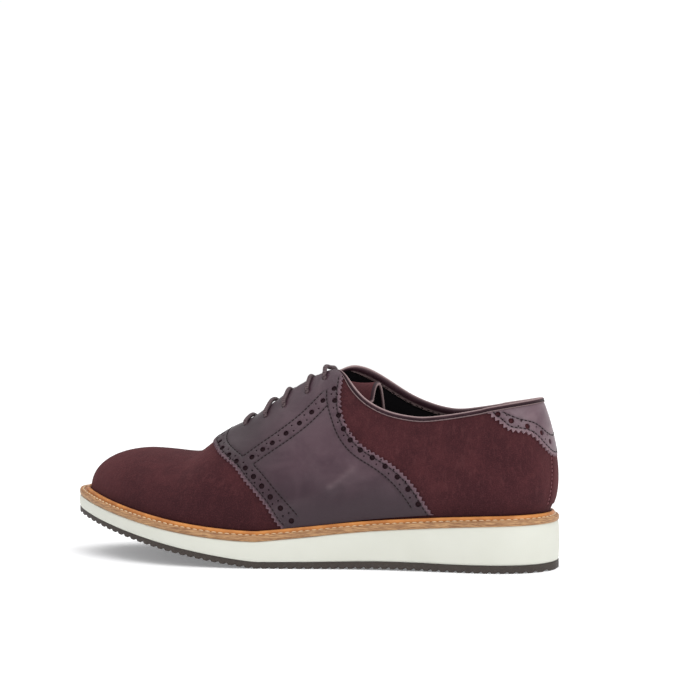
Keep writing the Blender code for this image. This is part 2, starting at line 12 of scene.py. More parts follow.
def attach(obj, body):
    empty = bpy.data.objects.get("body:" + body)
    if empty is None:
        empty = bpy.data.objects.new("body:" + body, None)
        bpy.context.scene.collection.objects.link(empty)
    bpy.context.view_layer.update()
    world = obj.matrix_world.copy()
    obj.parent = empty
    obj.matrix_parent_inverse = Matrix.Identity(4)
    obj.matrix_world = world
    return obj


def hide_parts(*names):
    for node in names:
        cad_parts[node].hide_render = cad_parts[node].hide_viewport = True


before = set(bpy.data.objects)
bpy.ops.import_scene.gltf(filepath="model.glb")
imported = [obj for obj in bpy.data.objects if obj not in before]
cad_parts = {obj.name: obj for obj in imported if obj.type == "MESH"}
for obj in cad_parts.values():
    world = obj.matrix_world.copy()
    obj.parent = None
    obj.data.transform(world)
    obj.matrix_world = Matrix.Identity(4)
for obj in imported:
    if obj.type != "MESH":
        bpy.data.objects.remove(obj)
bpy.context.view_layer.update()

METRES = 0.001

# Lengths are in mm from the back of the heel, across from its centre line and up from the floor.
SOLE_LENGTH = 300.0
HEEL_WIDTH = 71.0
WAIST_WIDTH = 72.0
BALL_WIDTH = 107.0
TOE_SPRING = 25.5
WAIST_LIFT = 0.8
OUTSOLE_HEEL = 4.6
OUTSOLE_TOE = 3.0
TOOTH_PITCH = 4.9
TOOTH_DEPTH = 1.0
MIDSOLE_HEEL = 22.5
MIDSOLE_TOE = 7.2
WELT_THICK = 3.7
WELT_REACH = 5.8
WELT_REACH_TOE = 7.0
WELT_SEAT = 3.0
BEAD_RISE = 2.1
BEAD_WIDTH = 2.6
INSTEP_RISE = 97.0
HEEL_RISE = 66.3
HEEL_BULGE = 5.2
UPPER_WALL = 2.2
FACING_GAP_OUTER = 12.0
FACING_GAP_INNER = 7.0
THROAT_GAP = 3.0
LEATHER = 1.2
TONGUE_THICK = 2.2
TONGUE_HALF_WIDTH = 17.0
INSOLE_RAISED = 1.5
LACE_THICK = 2.6
GAP = 0.3

# Shares of the sole's length
WAIST_START, WAIST_END, SPRING_START = 0.14, 0.48, 0.56
HEEL_CENTRE, TOE_CENTRE = 0.117, 0.833
FACING_TOP, VAMP_POINT = 0.425, 0.635
CORNER_ROUND = 0.015
SPRING_POWER = 1.2
BULGE_PEAK = 0.30
TOE_TIP_ACROSS = -0.100

#   along   outer   inner   width
SOLE_ROWS = (
    (0.027, 0.318, 0.318, HEEL_WIDTH),
    (0.100, 0.483, 0.479, HEEL_WIDTH),
    (0.200, 0.507, 0.493, HEEL_WIDTH),
    (0.300, 0.514, 0.465, WAIST_WIDTH),
    (0.400, 0.556, 0.458, WAIST_WIDTH),
    (0.500, 0.434, 0.350, BALL_WIDTH),
    (0.600, 0.491, 0.421, BALL_WIDTH),
    (0.667, 0.508, 0.467, BALL_WIDTH),
    (0.720, 0.500, 0.487, BALL_WIDTH),
    (0.780, 0.460, 0.488, BALL_WIDTH),
    (0.850, 0.374, 0.462, BALL_WIDTH),
    (0.910, 0.265, 0.413, BALL_WIDTH),
    (0.960, 0.138, 0.336, BALL_WIDTH),
    (0.985, 0.050, 0.254, BALL_WIDTH),
)

#   along  thickness of the wedge, from toe to heel
WEDGE_ROWS = (
    (0.00, 1.03),
    (0.10, 0.99),
    (0.17, 0.93),
    (0.28, 0.76),
    (0.40, 0.59),
    (0.49, 0.43),
    (0.58, 0.27),
    (0.67, 0.15),
    (0.80, 0.05),
    (0.97, 0.00),
)

#   along   rise    across  outer   inner   bulge
LAST_ROWS = (
    (0.117, 0.886, 0.000, 2.60, 2.60, 1.00),
    (0.200, 0.908, -0.005, 2.35, 2.35, 0.72),
    (0.300, 0.943, -0.020, 2.15, 2.10, 0.45),
    (0.367, 0.972, -0.033, 2.00, 1.90, 0.38),
    (0.417, 0.992, -0.038, 1.90, 1.80, 0.36),
    (0.452, 0.970, -0.040, 1.85, 1.75, 0.36),
    (0.489, 0.916, -0.040, 1.85, 1.75, 0.38),
    (0.530, 0.845, -0.042, 1.85, 1.75, 0.40),
    (0.570, 0.765, -0.046, 1.85, 1.80, 0.42),
    (0.618, 0.652, -0.055, 1.90, 1.85, 0.42),
    (0.657, 0.584, -0.064, 1.95, 1.90, 0.40),
    (0.697, 0.494, -0.073, 2.00, 2.00, 0.36),
    (0.727, 0.411, -0.080, 2.08, 2.05, 0.32),
    (0.760, 0.379, -0.088, 2.15, 2.15, 0.18),
    (0.795, 0.370, -0.095, 2.20, 2.20, 0.06),
    (0.833, 0.357, -0.100, 2.25, 2.25, 0.00),
)

#   along   outer   inner
COLLAR_ROWS = (
    (0.000, 0.970, 0.970),
    (0.067, 0.940, 0.934),
    (0.129, 0.905, 0.904),
    (0.183, 0.875, 0.880),
    (0.217, 0.862, 0.877),
    (0.250, 0.859, 0.908),
    (0.283, 0.882, 0.967),
    (0.317, 0.924, 1.054),
    (0.343, 0.977, 1.144),
    (0.367, 1.046, 1.232),
    (0.383, 1.108, 1.284),
    (0.400, 1.192, 1.327),
    (0.413, 1.263, 1.350),
    (0.425, 1.347, 1.404),
)

#   along  fall of the tongue
TONGUE_ROWS = (
    (0.360, 0.105),
    (0.385, 0.120),
    (0.410, 0.118),
    (0.440, 0.085),
    (0.480, 0.035),
    (0.520, 0.008),
    (0.560, 0.000),
    (0.680, 0.000),
)

# Lines on the last: share along the sole, then climb, from 0 at the outer welt to 2 at the inner welt
#   along   climb
FRONT_EDGE = (
    (0.5130, 0.015),
    (0.5184, 0.031),
    (0.5368, 0.111),
    (0.5633, 0.209),
    (0.5974, 0.326),
    (0.6181, 0.410),
    (0.6373, 0.471),
    (0.6591, 0.555),
    (0.6736, 0.640),
    (0.6850, 0.724),
    (0.6983, 1.000),
)
FRONT_HOLES = (
    (0.4926, 0.052),
    (0.5133, 0.119),
    (0.5336, 0.182),
    (0.5520, 0.247),
    (0.5703, 0.309),
    (0.5898, 0.373),
    (0.6122, 0.440),
    (0.6324, 0.508),
    (0.6530, 0.592),
    (0.6665, 0.690),
    (0.6745, 0.835),
    (0.6790, 1.000),
)
THROAT_HOLES = (
    (0.5798, 0.428),
    (0.5595, 0.449),
    (0.5414, 0.461),
    (0.5157, 0.480),
    (0.4909, 0.504),
    (0.4691, 0.537),
    (0.4496, 0.579),
)
REAR_EDGE = (
    (0.2218, 0.015),
    (0.2312, 0.039),
    (0.2519, 0.107),
    (0.2760, 0.170),
    (0.3164, 0.247),
    (0.3629, 0.324),
    (0.3882, 0.393),
    (0.4047, 0.469),
    (0.4123, 0.550),
    (0.4147, 0.597),
    (0.4148, 0.634),
)
REAR_HOLES = (
    (0.2507, 0.054),
    (0.2704, 0.113),
    (0.2916, 0.166),
    (0.3161, 0.216),
    (0.3418, 0.260),
    (0.3661, 0.300),
    (0.3868, 0.349),
    (0.4016, 0.403),
    (0.4138, 0.473),
    (0.4253, 0.556),
    (0.4304, 0.632),
)
TAB_EDGE = (
    (0.1185, 0.452),
    (0.1103, 0.420),
    (0.0904, 0.373),
    (0.0769, 0.338),
    (0.0522, 0.320),
    (0.0341, 0.306),
    (0.0185, 0.263),
    (0.0040, 0.202),
)
TAB_HOLES = (
    (0.0934, 0.431),
    (0.0663, 0.389),
    (0.0350, 0.354),
    (0.0119, 0.314),
    (0.0031, 0.265),
)
TAB_SEAM = (
    (0.0821, 0.442),
    (0.0484, 0.396),
    (0.0208, 0.369),
    (0.0039, 0.308),
)
LACE_PLACES = (0.622, 0.573, 0.534, 0.488, 0.456)
LACE_HUMPS = (0.6, 1.0, -0.6, -0.2, 2.0)
EYELET_REACHES = (12.0, 14.5, 13.0, 9.4, 4.4)
REAR_TOP = 0.4158

# Radii in mm of what is punched, and the corners of a hole's edge
HOLE, PINHOLE, EYELET = 1.65, 0.52, 1.6
HOLE_CORNERS, PINHOLE_CORNERS = 14, 8
SADDLE_PINS, TAB_PINS = 3.8, 3.6

# Stitches in the leather, in mm
STITCH_PITCH, STITCH_LENGTH, STITCH_WIDTH, STITCH_SUNK = 2.5, 1.9, 0.72, 0.16
OVERLAY_LIFT, STRIP_LIFT, STRIP_THICK = 0.1, 0.05, 0.8

# Millimetres to one radian of a flat pattern, along and up
SADDLE_SCALE = np.array([140.0, 62.0])
HEEL_SCALE = np.array([68.0, 62.0])

# Creases seen from the side: start and end in mm, side of the shoe, width and height in mm
#   x1     z1    x2     z2   side width height
CREASES = (
    (127.0, 47.0, 114.0, 58.0, 1, 2.4, 0.70),
    (130.0, 49.0, 137.0, 60.0, 1, 4.0, 0.40),
    (122.0, 43.0, 112.0, 49.0, 1, 5.0, -0.50),
    (136.0, 50.0, 150.0, 46.0, 1, 6.0, -0.45),
    (141.0, 41.0, 158.0, 35.0, 1, 5.0, 0.35),
    (95.0, 40.0, 106.0, 30.0, 1, 6.0, -0.40),
    (60.0, 70.0, 68.0, 45.0, 1, 7.0, -0.45),
    (44.0, 62.0, 47.0, 42.0, 1, 6.0, 0.35),
    (186.0, 46.0, 178.0, 28.0, 1, 7.0, -0.45),
    (200.0, 48.0, 208.0, 30.0, 1, 8.0, 0.40),
    (205.0, 66.0, 222.0, 55.0, 1, 7.0, -0.35),
    (128.0, 46.0, 116.0, 60.0, -1, 3.6, 0.50),
    (122.0, 42.0, 108.0, 48.0, -1, 5.0, -0.50),
    (140.0, 44.0, 158.0, 36.0, -1, 5.0, 0.35),
    (62.0, 72.0, 70.0, 46.0, -1, 7.0, -0.45),
    (188.0, 50.0, 178.0, 30.0, -1, 7.0, -0.45),
    (204.0, 52.0, 212.0, 32.0, -1, 8.0, 0.40),
)


class Curve:
    """A smooth curve of values over places, open or closed round."""

    def __init__(self, places, values, turn=None):
        places, values = np.array(places, float), np.array(values, float)
        if turn:
            places, values = np.append(places, places[0] + turn), np.append(values, values[0])
        self.places, self.values, self.turn = places, values, turn
        steps, slopes = np.diff(places), np.diff(values) / np.diff(places)
        matrix, right = np.eye(len(places)), np.zeros(len(places))
        for i in range(1, len(places) - 1):
            matrix[i, i - 1 : i + 2] = steps[i - 1], 2 * (steps[i - 1] + steps[i]), steps[i]
            right[i] = 6 * (slopes[i] - slopes[i - 1])
        if turn:
            matrix[0, -1] = -1
            matrix[-1] = 0
            matrix[-1, [0, 1, -2]] = 2 * (steps[-1] + steps[0]), steps[0], steps[-1]
            right[-1] = 6 * (slopes[0] - slopes[-1])
        self.bends = np.linalg.solve(matrix, right)

    def __call__(self, at):
        at = np.asarray(at, float)
        if self.turn:
            at = (at - self.places[0]) % self.turn + self.places[0]
        at = np.clip(at, self.places[0], self.places[-1])
        i = np.clip(np.searchsorted(self.places, at, side="right") - 1, 0, len(self.places) - 2)
        step = self.places[i + 1] - self.places[i]
        b = (at - self.places[i]) / step
        a = 1 - b
        bend = (a**3 - a) * self.bends[i] + (b**3 - b) * self.bends[i + 1]
        return a * self.values[i] + b * self.values[i + 1] + bend * step**2 / 6


def curves(rows):
    columns = np.array(rows).T
    return [Curve(columns[0], column) for column in columns[1:]]


def angle_at(along):
    return np.arccos(1 - 2 * np.asarray(along, float))


def rim_of_sole():
    along, outer, inner, width = np.array(SOLE_ROWS).T
    places = np.concatenate([[0], angle_at(along), [math.pi], 2 * math.pi - angle_at(along[::-1])])
    across = np.concatenate([[0], outer * width, [TOE_TIP_ACROSS * BALL_WIDTH], -(inner * width)[::-1]])
    return Curve(places, across, 2 * math.pi)


ACROSS = rim_of_sole()
(WEDGE,), (FALL,) = curves(WEDGE_ROWS), curves(TONGUE_ROWS)
RISE, RIDGE, OUTER_POWER, INNER_POWER, BULGE = curves(LAST_ROWS)
COLLAR_OUTER, COLLAR_INNER = curves(COLLAR_ROWS)


def sole_edge(angle, inset=0.0):
    """Places x, y on the sole's outline, set in by some mm. The angle is 0 at the heel and pi at the toe."""
    angle = np.asarray(angle, float)
    step = 1e-4
    x, y = SOLE_LENGTH * (1 - np.cos(angle)) / 2, ACROSS(angle)
    forward = SOLE_LENGTH * np.sin(angle) / 2
    sideways = (ACROSS(angle + step) - ACROSS(angle - step)) / (2 * step)
    length = np.hypot(forward, sideways)
    return np.stack([x + inset * sideways / length, y - inset * forward / length], axis=-1)


RING = sole_edge(np.linspace(0, 2 * math.pi, 721))
MIDDLE = np.append((RING.min(axis=0) + RING.max(axis=0)) / 2, 0)


def ground(x):
    along = np.asarray(x) / SOLE_LENGTH
    arch = np.clip((along - WAIST_START) / (WAIST_END - WAIST_START), 0, 1)
    spring = np.clip((along - SPRING_START) / (1 - SPRING_START), 0, 1)
    return WAIST_LIFT * np.sin(math.pi * arch) ** 2 + TOE_SPRING * spring**SPRING_POWER


def midsole_bottom(x):
    return ground(x) + OUTSOLE_HEEL + (OUTSOLE_TOE - OUTSOLE_HEEL) * x / SOLE_LENGTH


def midsole_top(x):
    return midsole_bottom(x) + MIDSOLE_TOE + (MIDSOLE_HEEL - MIDSOLE_TOE) * WEDGE(x / SOLE_LENGTH)


def shelf(x):
    return midsole_top(x) + GAP + WELT_THICK


def welt_reach(angle):
    return WELT_REACH + (WELT_REACH_TOE - WELT_REACH) * np.maximum(-np.cos(angle), 0.0) ** 6


def spine_along(angle):
    along = (1 - np.cos(angle)) / 2
    heel_end, toe_end = 2 * HEEL_CENTRE, 2 * TOE_CENTRE - 1
    heel = HEEL_CENTRE + (along / heel_end) ** 2 * (heel_end - HEEL_CENTRE)
    toe = TOE_CENTRE - ((1 - along) / (1 - toe_end)) ** 2 * (TOE_CENTRE - toe_end)
    return np.where(along < heel_end, heel, np.where(along > toe_end, toe, along))


def is_outer(angle):
    return angle % (2 * math.pi) <= math.pi + 1e-9


def section(angle):
    """The sizes of the last's section at each angle of the outline."""
    angle = np.asarray(angle, float)
    foot = sole_edge(angle, welt_reach(angle))
    along = spine_along(angle)
    top = np.stack([along * SOLE_LENGTH, RIDGE(along) * BALL_WIDTH], axis=-1)
    foot_z = shelf(foot[..., 0]) + GAP
    top_z = shelf(top[..., 0]) + RISE(along) * INSTEP_RISE
    power = np.where(is_outer(angle), OUTER_POWER(along), INNER_POWER(along))
    return foot, top, foot_z, top_z, power, BULGE(along) * HEEL_BULGE


def last(angle, turn):
    """Points of the last. The turn is 0 at the feather line, by the welt, and pi / 2 on the ridge."""
    angle, turn = np.broadcast_arrays(np.asarray(angle, float), np.asarray(turn, float))
    foot, top, foot_z, top_z, power, bulge = section(angle)
    level = np.maximum(np.sin(turn), 0) ** (2 / power)
    share = np.maximum(np.cos(turn), 0) ** (2 / power)
    full = level / BULGE_PEAK
    span = foot - top
    out = share + bulge * full * np.exp(1 - full) * share / np.linalg.norm(span, axis=-1)
    height = foot_z + (top_z - foot_z) * level
    return np.concatenate([top + span * out[..., None], height[..., None]], axis=-1)


def unit(vectors):
    return vectors / np.maximum(np.linalg.norm(vectors, axis=-1), 1e-12)[..., None]


def last_normal(angle, turn):
    angle, turn = np.broadcast_arrays(np.asarray(angle, float), np.minimum(turn, math.pi / 2 - 0.01))
    step = 1e-3
    across = last(angle + step, turn) - last(angle - step, turn)
    up = last(angle, turn + step) - last(angle, np.maximum(turn - step, 0))
    return unit(np.cross(up, across))


def turn_at_reach(angle, distance):
    foot, top, _, _, power, _ = section(angle)
    return np.arccos(np.minimum(distance / np.linalg.norm(foot - top, axis=-1), 1) ** (power / 2))


def turn_at_rise(angle, rise):
    _, _, foot_z, top_z, power, _ = section(angle)
    return np.arcsin(np.minimum(rise / (top_z - foot_z), 1) ** (power / 2))


def facing_reach(angle):
    """How far a facing's edge lies from the ridge line."""
    share = (VAMP_POINT - (1 - np.cos(angle)) / 2) / (VAMP_POINT - FACING_TOP)
    return THROAT_GAP + share * (np.where(is_outer(angle), FACING_GAP_OUTER, FACING_GAP_INNER) - THROAT_GAP)


def cut_turn(angle):
    """How far up its section the upper reaches: to the collar, to a facing's edge, or over the top."""
    along = (1 - np.cos(angle)) / 2
    rise = np.where(is_outer(angle), COLLAR_OUTER(along), COLLAR_INNER(along)) * HEEL_RISE
    return np.select(
        [along >= VAMP_POINT - 1e-9, along >= FACING_TOP - 1e-9],
        [math.pi / 2, turn_at_reach(angle, np.maximum(facing_reach(angle), 0))],
        turn_at_rise(angle, rise),
    )


def open_turn(angle):
    """The upper's upper edge, with the facing's top corner rounded."""
    angle = np.asarray(angle, float)
    along = (1 - np.cos(angle)) / 2
    soft = CORNER_ROUND * np.clip(1.8 - np.abs(along - FACING_TOP) / CORNER_ROUND, 0, 1)
    turns = []
    for step in np.linspace(-1, 1, 9):
        near = angle_at(along + soft * step)
        turns.append(cut_turn(np.where(is_outer(angle), near, 2 * math.pi - near)))
    return np.mean(turns, axis=0)


def relief(points):
    """Height in mm of the creases in the leather at points of the last."""
    total = np.zeros(points.shape[:-1])
    for x1, z1, x2, z2, side, width, height in CREASES:
        start, run = np.array([x1, z1]), np.array([x2 - x1, z2 - z1])
        seen = points[..., [0, 2]] - start
        share = np.clip(seen @ run / (run @ run), 0, 1)
        far = np.linalg.norm(seen - share[..., None] * run, axis=-1)
        fade = np.clip((side * points[..., 1] - 6) / 8, 0, 1)
        total += height * np.exp(-((far / width) ** 2)) * fade
    return total


def chart(rows):
    """Rows of (along, climb) as flat places: an outline angle, and a turn that runs on over the ridge."""
    along, climb = np.array(rows, float).T
    return np.stack([angle_at(along), climb * math.pi / 2], axis=-1)


def split(places):
    angle, turn = places[..., 0], places[..., 1]
    over = turn > math.pi / 2
    return np.where(over, -angle, angle) % (2 * math.pi), np.where(over, math.pi - turn, turn)


def lasted(places, lift=0.0):
    """Pulls flat places over the last, some mm off it."""
    angle, turn = split(places)
    base = last(angle, turn)
    height = np.asarray(lift) + relief(base)
    return base + last_normal(angle, turn) * height[..., None]


def flat_to_last(places):
    """The two directions of the flat pattern on the last, in mm per radian, and the way out."""
    step = 1e-4
    along, up = ((lasted(places + move) - lasted(places - move)) / (2 * step) for move in step * np.eye(2))
    return along, up, last_normal(*split(places))


def shifted(places, move):
    """Flat places moved by vectors in mm on the last."""
    along, up, _ = flat_to_last(places)
    a, b, c = (along * along).sum(-1), (along * up).sum(-1), (up * up).sum(-1)
    u, v = (along * move).sum(-1), (up * move).sum(-1)
    return places + np.stack([(c * u - b * v), (a * v - b * u)], axis=-1) / (a * c - b * b)[..., None]


def lengths_along(points):
    return np.append(0, np.cumsum(np.linalg.norm(np.diff(points, axis=0), axis=1)))


def picked(line, run, at):
    """The places of a line where its running length comes to the values of at."""
    return np.stack([np.interp(at, run, column) for column in line.T], axis=-1)


def walk(line, pitch):
    """The line again, in steps of about the pitch on the last."""
    run = lengths_along(lasted(line))
    return picked(line, run, np.linspace(0, run[-1], max(int(round(run[-1] / pitch)), 1) + 1))


def smooth(points, count=300):
    """A smooth line through a few flat places, or a few points in space."""
    run = lengths_along(points)
    at = np.linspace(0, run[-1], count)
    return np.stack([Curve(run, column)(at) for column in points.T], axis=-1)


def beside(line, distance):
    """The line set off sideways by some mm: to the left as seen from outside, for a positive distance."""
    points = lasted(line)
    sideways = np.cross(last_normal(*split(line)), unit(np.gradient(points, axis=0)))
    return shifted(line, sideways * np.asarray(distance, float).reshape(-1, 1))


def mirrored(places):
    """The same places on the inner side of the shoe."""
    return np.stack([places[..., 0], math.pi - places[..., 1]], axis=-1)


def pinked(line, pitch, depth):
    """A zigzag along the line. Its teeth reach some mm to the left."""
    line = walk(line, pitch / 2)
    return beside(line, np.where(np.arange(len(line)) % 2, depth, 0.0))


def ring_at(place, radius, count):
    """A round hole's edge on the last."""
    along, _, out = flat_to_last(place[None])
    first = unit(along)
    second = np.cross(out, first)
    turns = np.linspace(0, 2 * math.pi, count, endpoint=False)[:, None]
    spokes = radius * (np.cos(turns) * first + np.sin(turns) * second)
    return shifted(np.repeat(place[None], count, axis=0), spokes)


# Finishes


class Value:
    """A value in a material. Sums and products of values add their own nodes."""

    def __init__(self, finish, socket):
        self.finish, self.socket = finish, socket

    def __add__(self, other):
        return self.finish.maths("ADD", self, other)

    def __sub__(self, other):
        return self.finish.maths("SUBTRACT", self, other)

    def __rsub__(self, other):
        return self.finish.maths("SUBTRACT", other, self)

    def __mul__(self, other):
        return self.finish.maths("MULTIPLY", self, other)

    __radd__ = __add__
    __rmul__ = __mul__


def tone(red, green, blue):
    """A colour as a screen shows it, from 0 to 255, turned into shares of light."""
    shares = [value / 255 for value in (red, green, blue)]
    return (*[s / 12.92 if s <= 0.04045 else ((s + 0.055) / 1.055) ** 2.4 for s in shares], 1.0)


class Finish:
    """A material made of nodes."""

    def __init__(self, name, **settings):
        self.material = bpy.data.materials.new(name)
        self.material.use_nodes = True
        self.tree = self.material.node_tree
        self.shader = self.tree.nodes["Principled BSDF"]
        for socket, value in settings.items():
            self.set(socket.replace("_", " "), value)

    def set(self, socket, value):
        if isinstance(value, Value):
            self.tree.links.new(value.socket, self.shader.inputs[socket])
        else:
            self.shader.inputs[socket].default_value = value

    def node(self, kind, settings=(), sockets=(), output=0):
        node = self.tree.nodes.new(kind)
        for name, value in dict(settings).items():
            setattr(node, name, value)
        for name, value in dict(sockets).items():
            if isinstance(value, Value):
                self.tree.links.new(value.socket, node.inputs[name])
            else:
                node.inputs[name].default_value = value
        return Value(self, node.outputs[output])

    def maths(self, operation, *values):
        return self.node("ShaderNodeMath", {"operation": operation}, dict(enumerate(values)))

    def between(self, value, low, high):
        """0 below low, 1 above high, and a soft step from one to the other."""
        sockets = {"Value": value, "From Min": low, "From Max": high}
        return self.node("ShaderNodeMapRange", {"interpolation_type": "SMOOTHSTEP"}, sockets)

    def mix(self, share, first, second):
        return self.node("ShaderNodeMix", {"data_type": "RGBA"}, {0: share, 6: first, 7: second}, 2)

    def place(self):
        return self.node("ShaderNodeTexCoord", output="Object")

    def parts(self, place):
        """The three numbers of a place."""
        node = self.tree.nodes.new("ShaderNodeSeparateXYZ")
        self.tree.links.new(place.socket, node.inputs[0])
        return [Value(self, output) for output in node.outputs]

    def stretched(self, place, scale):
        return self.node("ShaderNodeMapping", {}, {"Vector": place, "Scale": scale})

    def noise(self, size, detail=3.0, roughness=0.6, place=None, warp=0.0):
        """Mottling whose patches are about size mm across."""
        sockets = {"Vector": place or self.place(), "Scale": 1 / (size * METRES), "Detail": detail}
        return self.node("ShaderNodeTexNoise", {}, {**sockets, "Roughness": roughness, "Distortion": warp})

    def cells(self, size):
        """Distance to the nearest of scattered points, for grain and pores."""
        sockets = {"Vector": self.place(), "Scale": 1 / (size * METRES)}
        return self.node("ShaderNodeTexVoronoi", {}, sockets)

    def mark(self, name):
        return self.node("ShaderNodeAttribute", {"attribute_name": name}, output="Fac")

    def bump(self, *layers):
        """Layers of (height value, mm), each laid over the one before."""
        normal = None
        for height, depth in layers:
            sockets = {"Height": height, "Distance": depth * METRES, "Strength": 1.0}
            if normal:
                sockets["Normal"] = normal
            normal = self.node("ShaderNodeBump", {}, sockets)
        self.set("Normal", normal)


def suede():
    finish = Finish("brushed_suede", Specular_IOR_Level=0.18, Sheen_Weight=0.16, Sheen_Roughness=0.5)
    finish.shader.inputs["Sheen Tint"].default_value = tone(190, 110, 112)
    nap, brushed = finish.noise(0.55, 2), finish.noise(5.0, 4, 0.65, warp=1.2)
    patches = finish.noise(26.0, 3, 0.55, warp=0.6)
    colour = finish.mix(finish.between(patches, 0.35, 0.68), tone(55, 24, 29), tone(68, 32, 36))
    strokes = finish.noise(2.2, 3, 0.6, finish.stretched(finish.place(), (1.0, 1.0, 0.28)), 0.4)
    height = finish.parts(finish.place())[2]
    colour = finish.mix(finish.between(brushed, 0.42, 0.74) * 0.35, colour, tone(82, 42, 45))
    colour = finish.mix(finish.between(strokes, 0.50, 0.72) * 0.30, colour, tone(88, 50, 52))
    # Painted shade: darker towards the bottom, from 52 mm down to 28 mm above the floor.
    colour = finish.mix(finish.between(height, 0.052, 0.028) * 0.55, colour, tone(42, 17, 22))
    colour = finish.mix(finish.between(nap, 0.50, 0.72) * 0.30, colour, tone(98, 55, 57))
    colour = finish.mix(finish.between(nap, 0.50, 0.30) * 0.35, colour, tone(38, 16, 20))
    finish.set("Base Color", colour)
    finish.set("Roughness", 0.86 + 0.12 * brushed)
    finish.bump((patches, 0.35), (brushed, 0.22), (nap, 0.16))
    return finish.material


def calf(name, dark, light, cut_edge_and_highlight, gloss=0.38, coat=0.14):
    """Plum calf. Painted shade darkens it towards the welt and the toe; it is pale at cut edges, with a
    painted highlight on crease ridges and along the trim's roll; dark in pressed seams.
    """
    finish = Finish(name, Specular_IOR_Level=gloss, Coat_Roughness=0.28)
    ahead, _, height = finish.parts(finish.place())
    patches, grain, cloud = finish.noise(20.0, 3, 0.5, warp=0.8), finish.cells(0.75), finish.noise(3.5, 3)
    edge, seam = finish.mark("edge"), finish.mark("seam")
    colour = finish.mix(finish.between(patches, 0.32, 0.70), tone(*dark), tone(*light))
    colour = finish.mix(finish.between(cloud, 0.45, 0.75) * 0.15, colour, tone(88, 70, 77))
    # Painted shade: darker towards the bottom, from 72 mm down to 38 mm above the floor.
    painted_shade_low = finish.between(height + 0.012 * patches, 0.072, 0.038)
    colour = finish.mix(painted_shade_low * 0.95, colour, tone(40, 18, 30))
    # Painted shade: darker towards the toe.
    colour = finish.mix(finish.between(ahead, -0.004, 0.036) * 0.80, colour, tone(38, 15, 26))
    # Painted highlight: lighter on the ridges of the creases.
    colour = finish.mix(finish.mark("painted_crease_highlight") * 0.30, colour, tone(124, 104, 109))
    colour = finish.mix(seam * 0.85, colour, tone(22, 10, 16))
    # Pale at the edge mark: the cut edge's own colour on the saddle and heel tab, a painted highlight on the
    # rolled trim and the tongue's binding.
    colour = finish.mix(edge * 0.8, colour, tone(*cut_edge_and_highlight))
    finish.set("Base Color", colour)
    finish.set("Roughness", 0.40 + 0.14 * cloud + 0.25 * edge)
    finish.set("Coat Weight", coat - coat * edge)
    finish.bump((patches, 0.30), (finish.between(grain, 0.0, 0.55), 0.035))
    return finish.material


def lining(name, dark, light):
    finish = Finish(name, Specular_IOR_Level=0.12)
    cloud = finish.noise(6.0, 3)
    finish.set("Base Color", finish.mix(cloud, tone(*dark), tone(*light)))
    finish.set("Roughness", 0.62 + 0.2 * cloud)
    finish.bump((finish.cells(0.9), 0.03))
    return finish.material


def welt_leather():
    """Orange-tan on the bead, and the paler cut edge with its long fibres on the outside."""
    finish = Finish("tan_welt_leather", Specular_IOR_Level=0.4, Coat_Weight=0.10, Coat_Roughness=0.35)
    place, edge = finish.place(), finish.mark("edge")
    fibres = finish.noise(1.0, 4, 0.7, finish.stretched(place, (0.16, 0.16, 1.9)), 0.5)
    cloud = finish.noise(9.0, 3)
    bead = finish.mix(finish.between(cloud, 0.35, 0.7), tone(176, 108, 48), tone(204, 134, 66))
    cut = finish.mix(finish.between(fibres, 0.36, 0.66), tone(126, 86, 56), tone(188, 146, 102))
    colour = finish.mix(edge, bead, cut)
    finish.set("Base Color", finish.mix(finish.mark("seam") * 0.6, colour, tone(112, 66, 32)))
    finish.set("Roughness", 0.42 + 0.22 * edge)
    finish.bump((fibres * edge, 0.12), (finish.cells(0.6), 0.02))
    return finish.material


def foam():
    finish = Finish("white_foam_wedge", Specular_IOR_Level=0.35)
    cloud, pores = finish.noise(30.0, 2), finish.cells(0.8)
    finish.set("Base Color", finish.mix(cloud, tone(202, 203, 192), tone(212, 213, 204)))
    finish.set("Roughness", 0.52 + 0.15 * cloud)
    finish.bump((finish.between(pores, 0.1, 0.6), 0.02), (finish.noise(0.7, 2), 0.02))
    return finish.material


def rubber():
    finish = Finish("brown_black_rubber", Specular_IOR_Level=0.4)
    cloud, dust = finish.noise(12.0, 3), finish.noise(0.8, 2)
    colour = finish.mix(cloud, tone(48, 41, 37), tone(64, 56, 51))
    finish.set("Base Color", finish.mix(finish.between(dust, 0.5, 0.75) * 0.2, colour, tone(110, 102, 96)))
    finish.set("Roughness", 0.60 + 0.2 * cloud)
    finish.bump((dust, 0.05))
    return finish.material


def thread(name, dark, light):
    finish = Finish(name, Specular_IOR_Level=0.15)
    twist = finish.noise(0.5, 2)
    finish.set("Base Color", finish.mix(twist, tone(*dark), tone(*light)))
    finish.set("Roughness", 0.5 + 0.2 * twist)
    finish.bump((twist, 0.05))
    return finish.material


# Radians of the braid's pattern to a millimetre of cord, and once round it
STRAND_TURN, TWO_TURNS = 5.2, 12.566


def braid():
    """The waxed cord: two sets of strands that cross, laid out on the cord's own flat map."""
    finish = Finish("braided_lace", Specular_IOR_Level=0.35)
    sheet = finish.node("ShaderNodeUVMap", {"uv_map": "flat"})
    run, girth, _ = finish.parts(sheet)
    one = finish.maths("SINE", run * STRAND_TURN + girth * TWO_TURNS)
    other = finish.maths("SINE", run * STRAND_TURN - girth * TWO_TURNS)
    strands = finish.maths("MAXIMUM", one, other)
    # Lighter on the strands and darker between them: painted shade in the gaps of the braid.
    colour = finish.mix(finish.between(strands, -0.2, 0.9), tone(60, 45, 49), tone(92, 75, 78))
    finish.set("Base Color", colour)
    finish.set("Roughness", 0.72 - 0.12 * strands)
    finish.bump((finish.between(strands, -0.4, 1.0), 0.07), (finish.noise(0.3, 2), 0.03))
    return finish.material


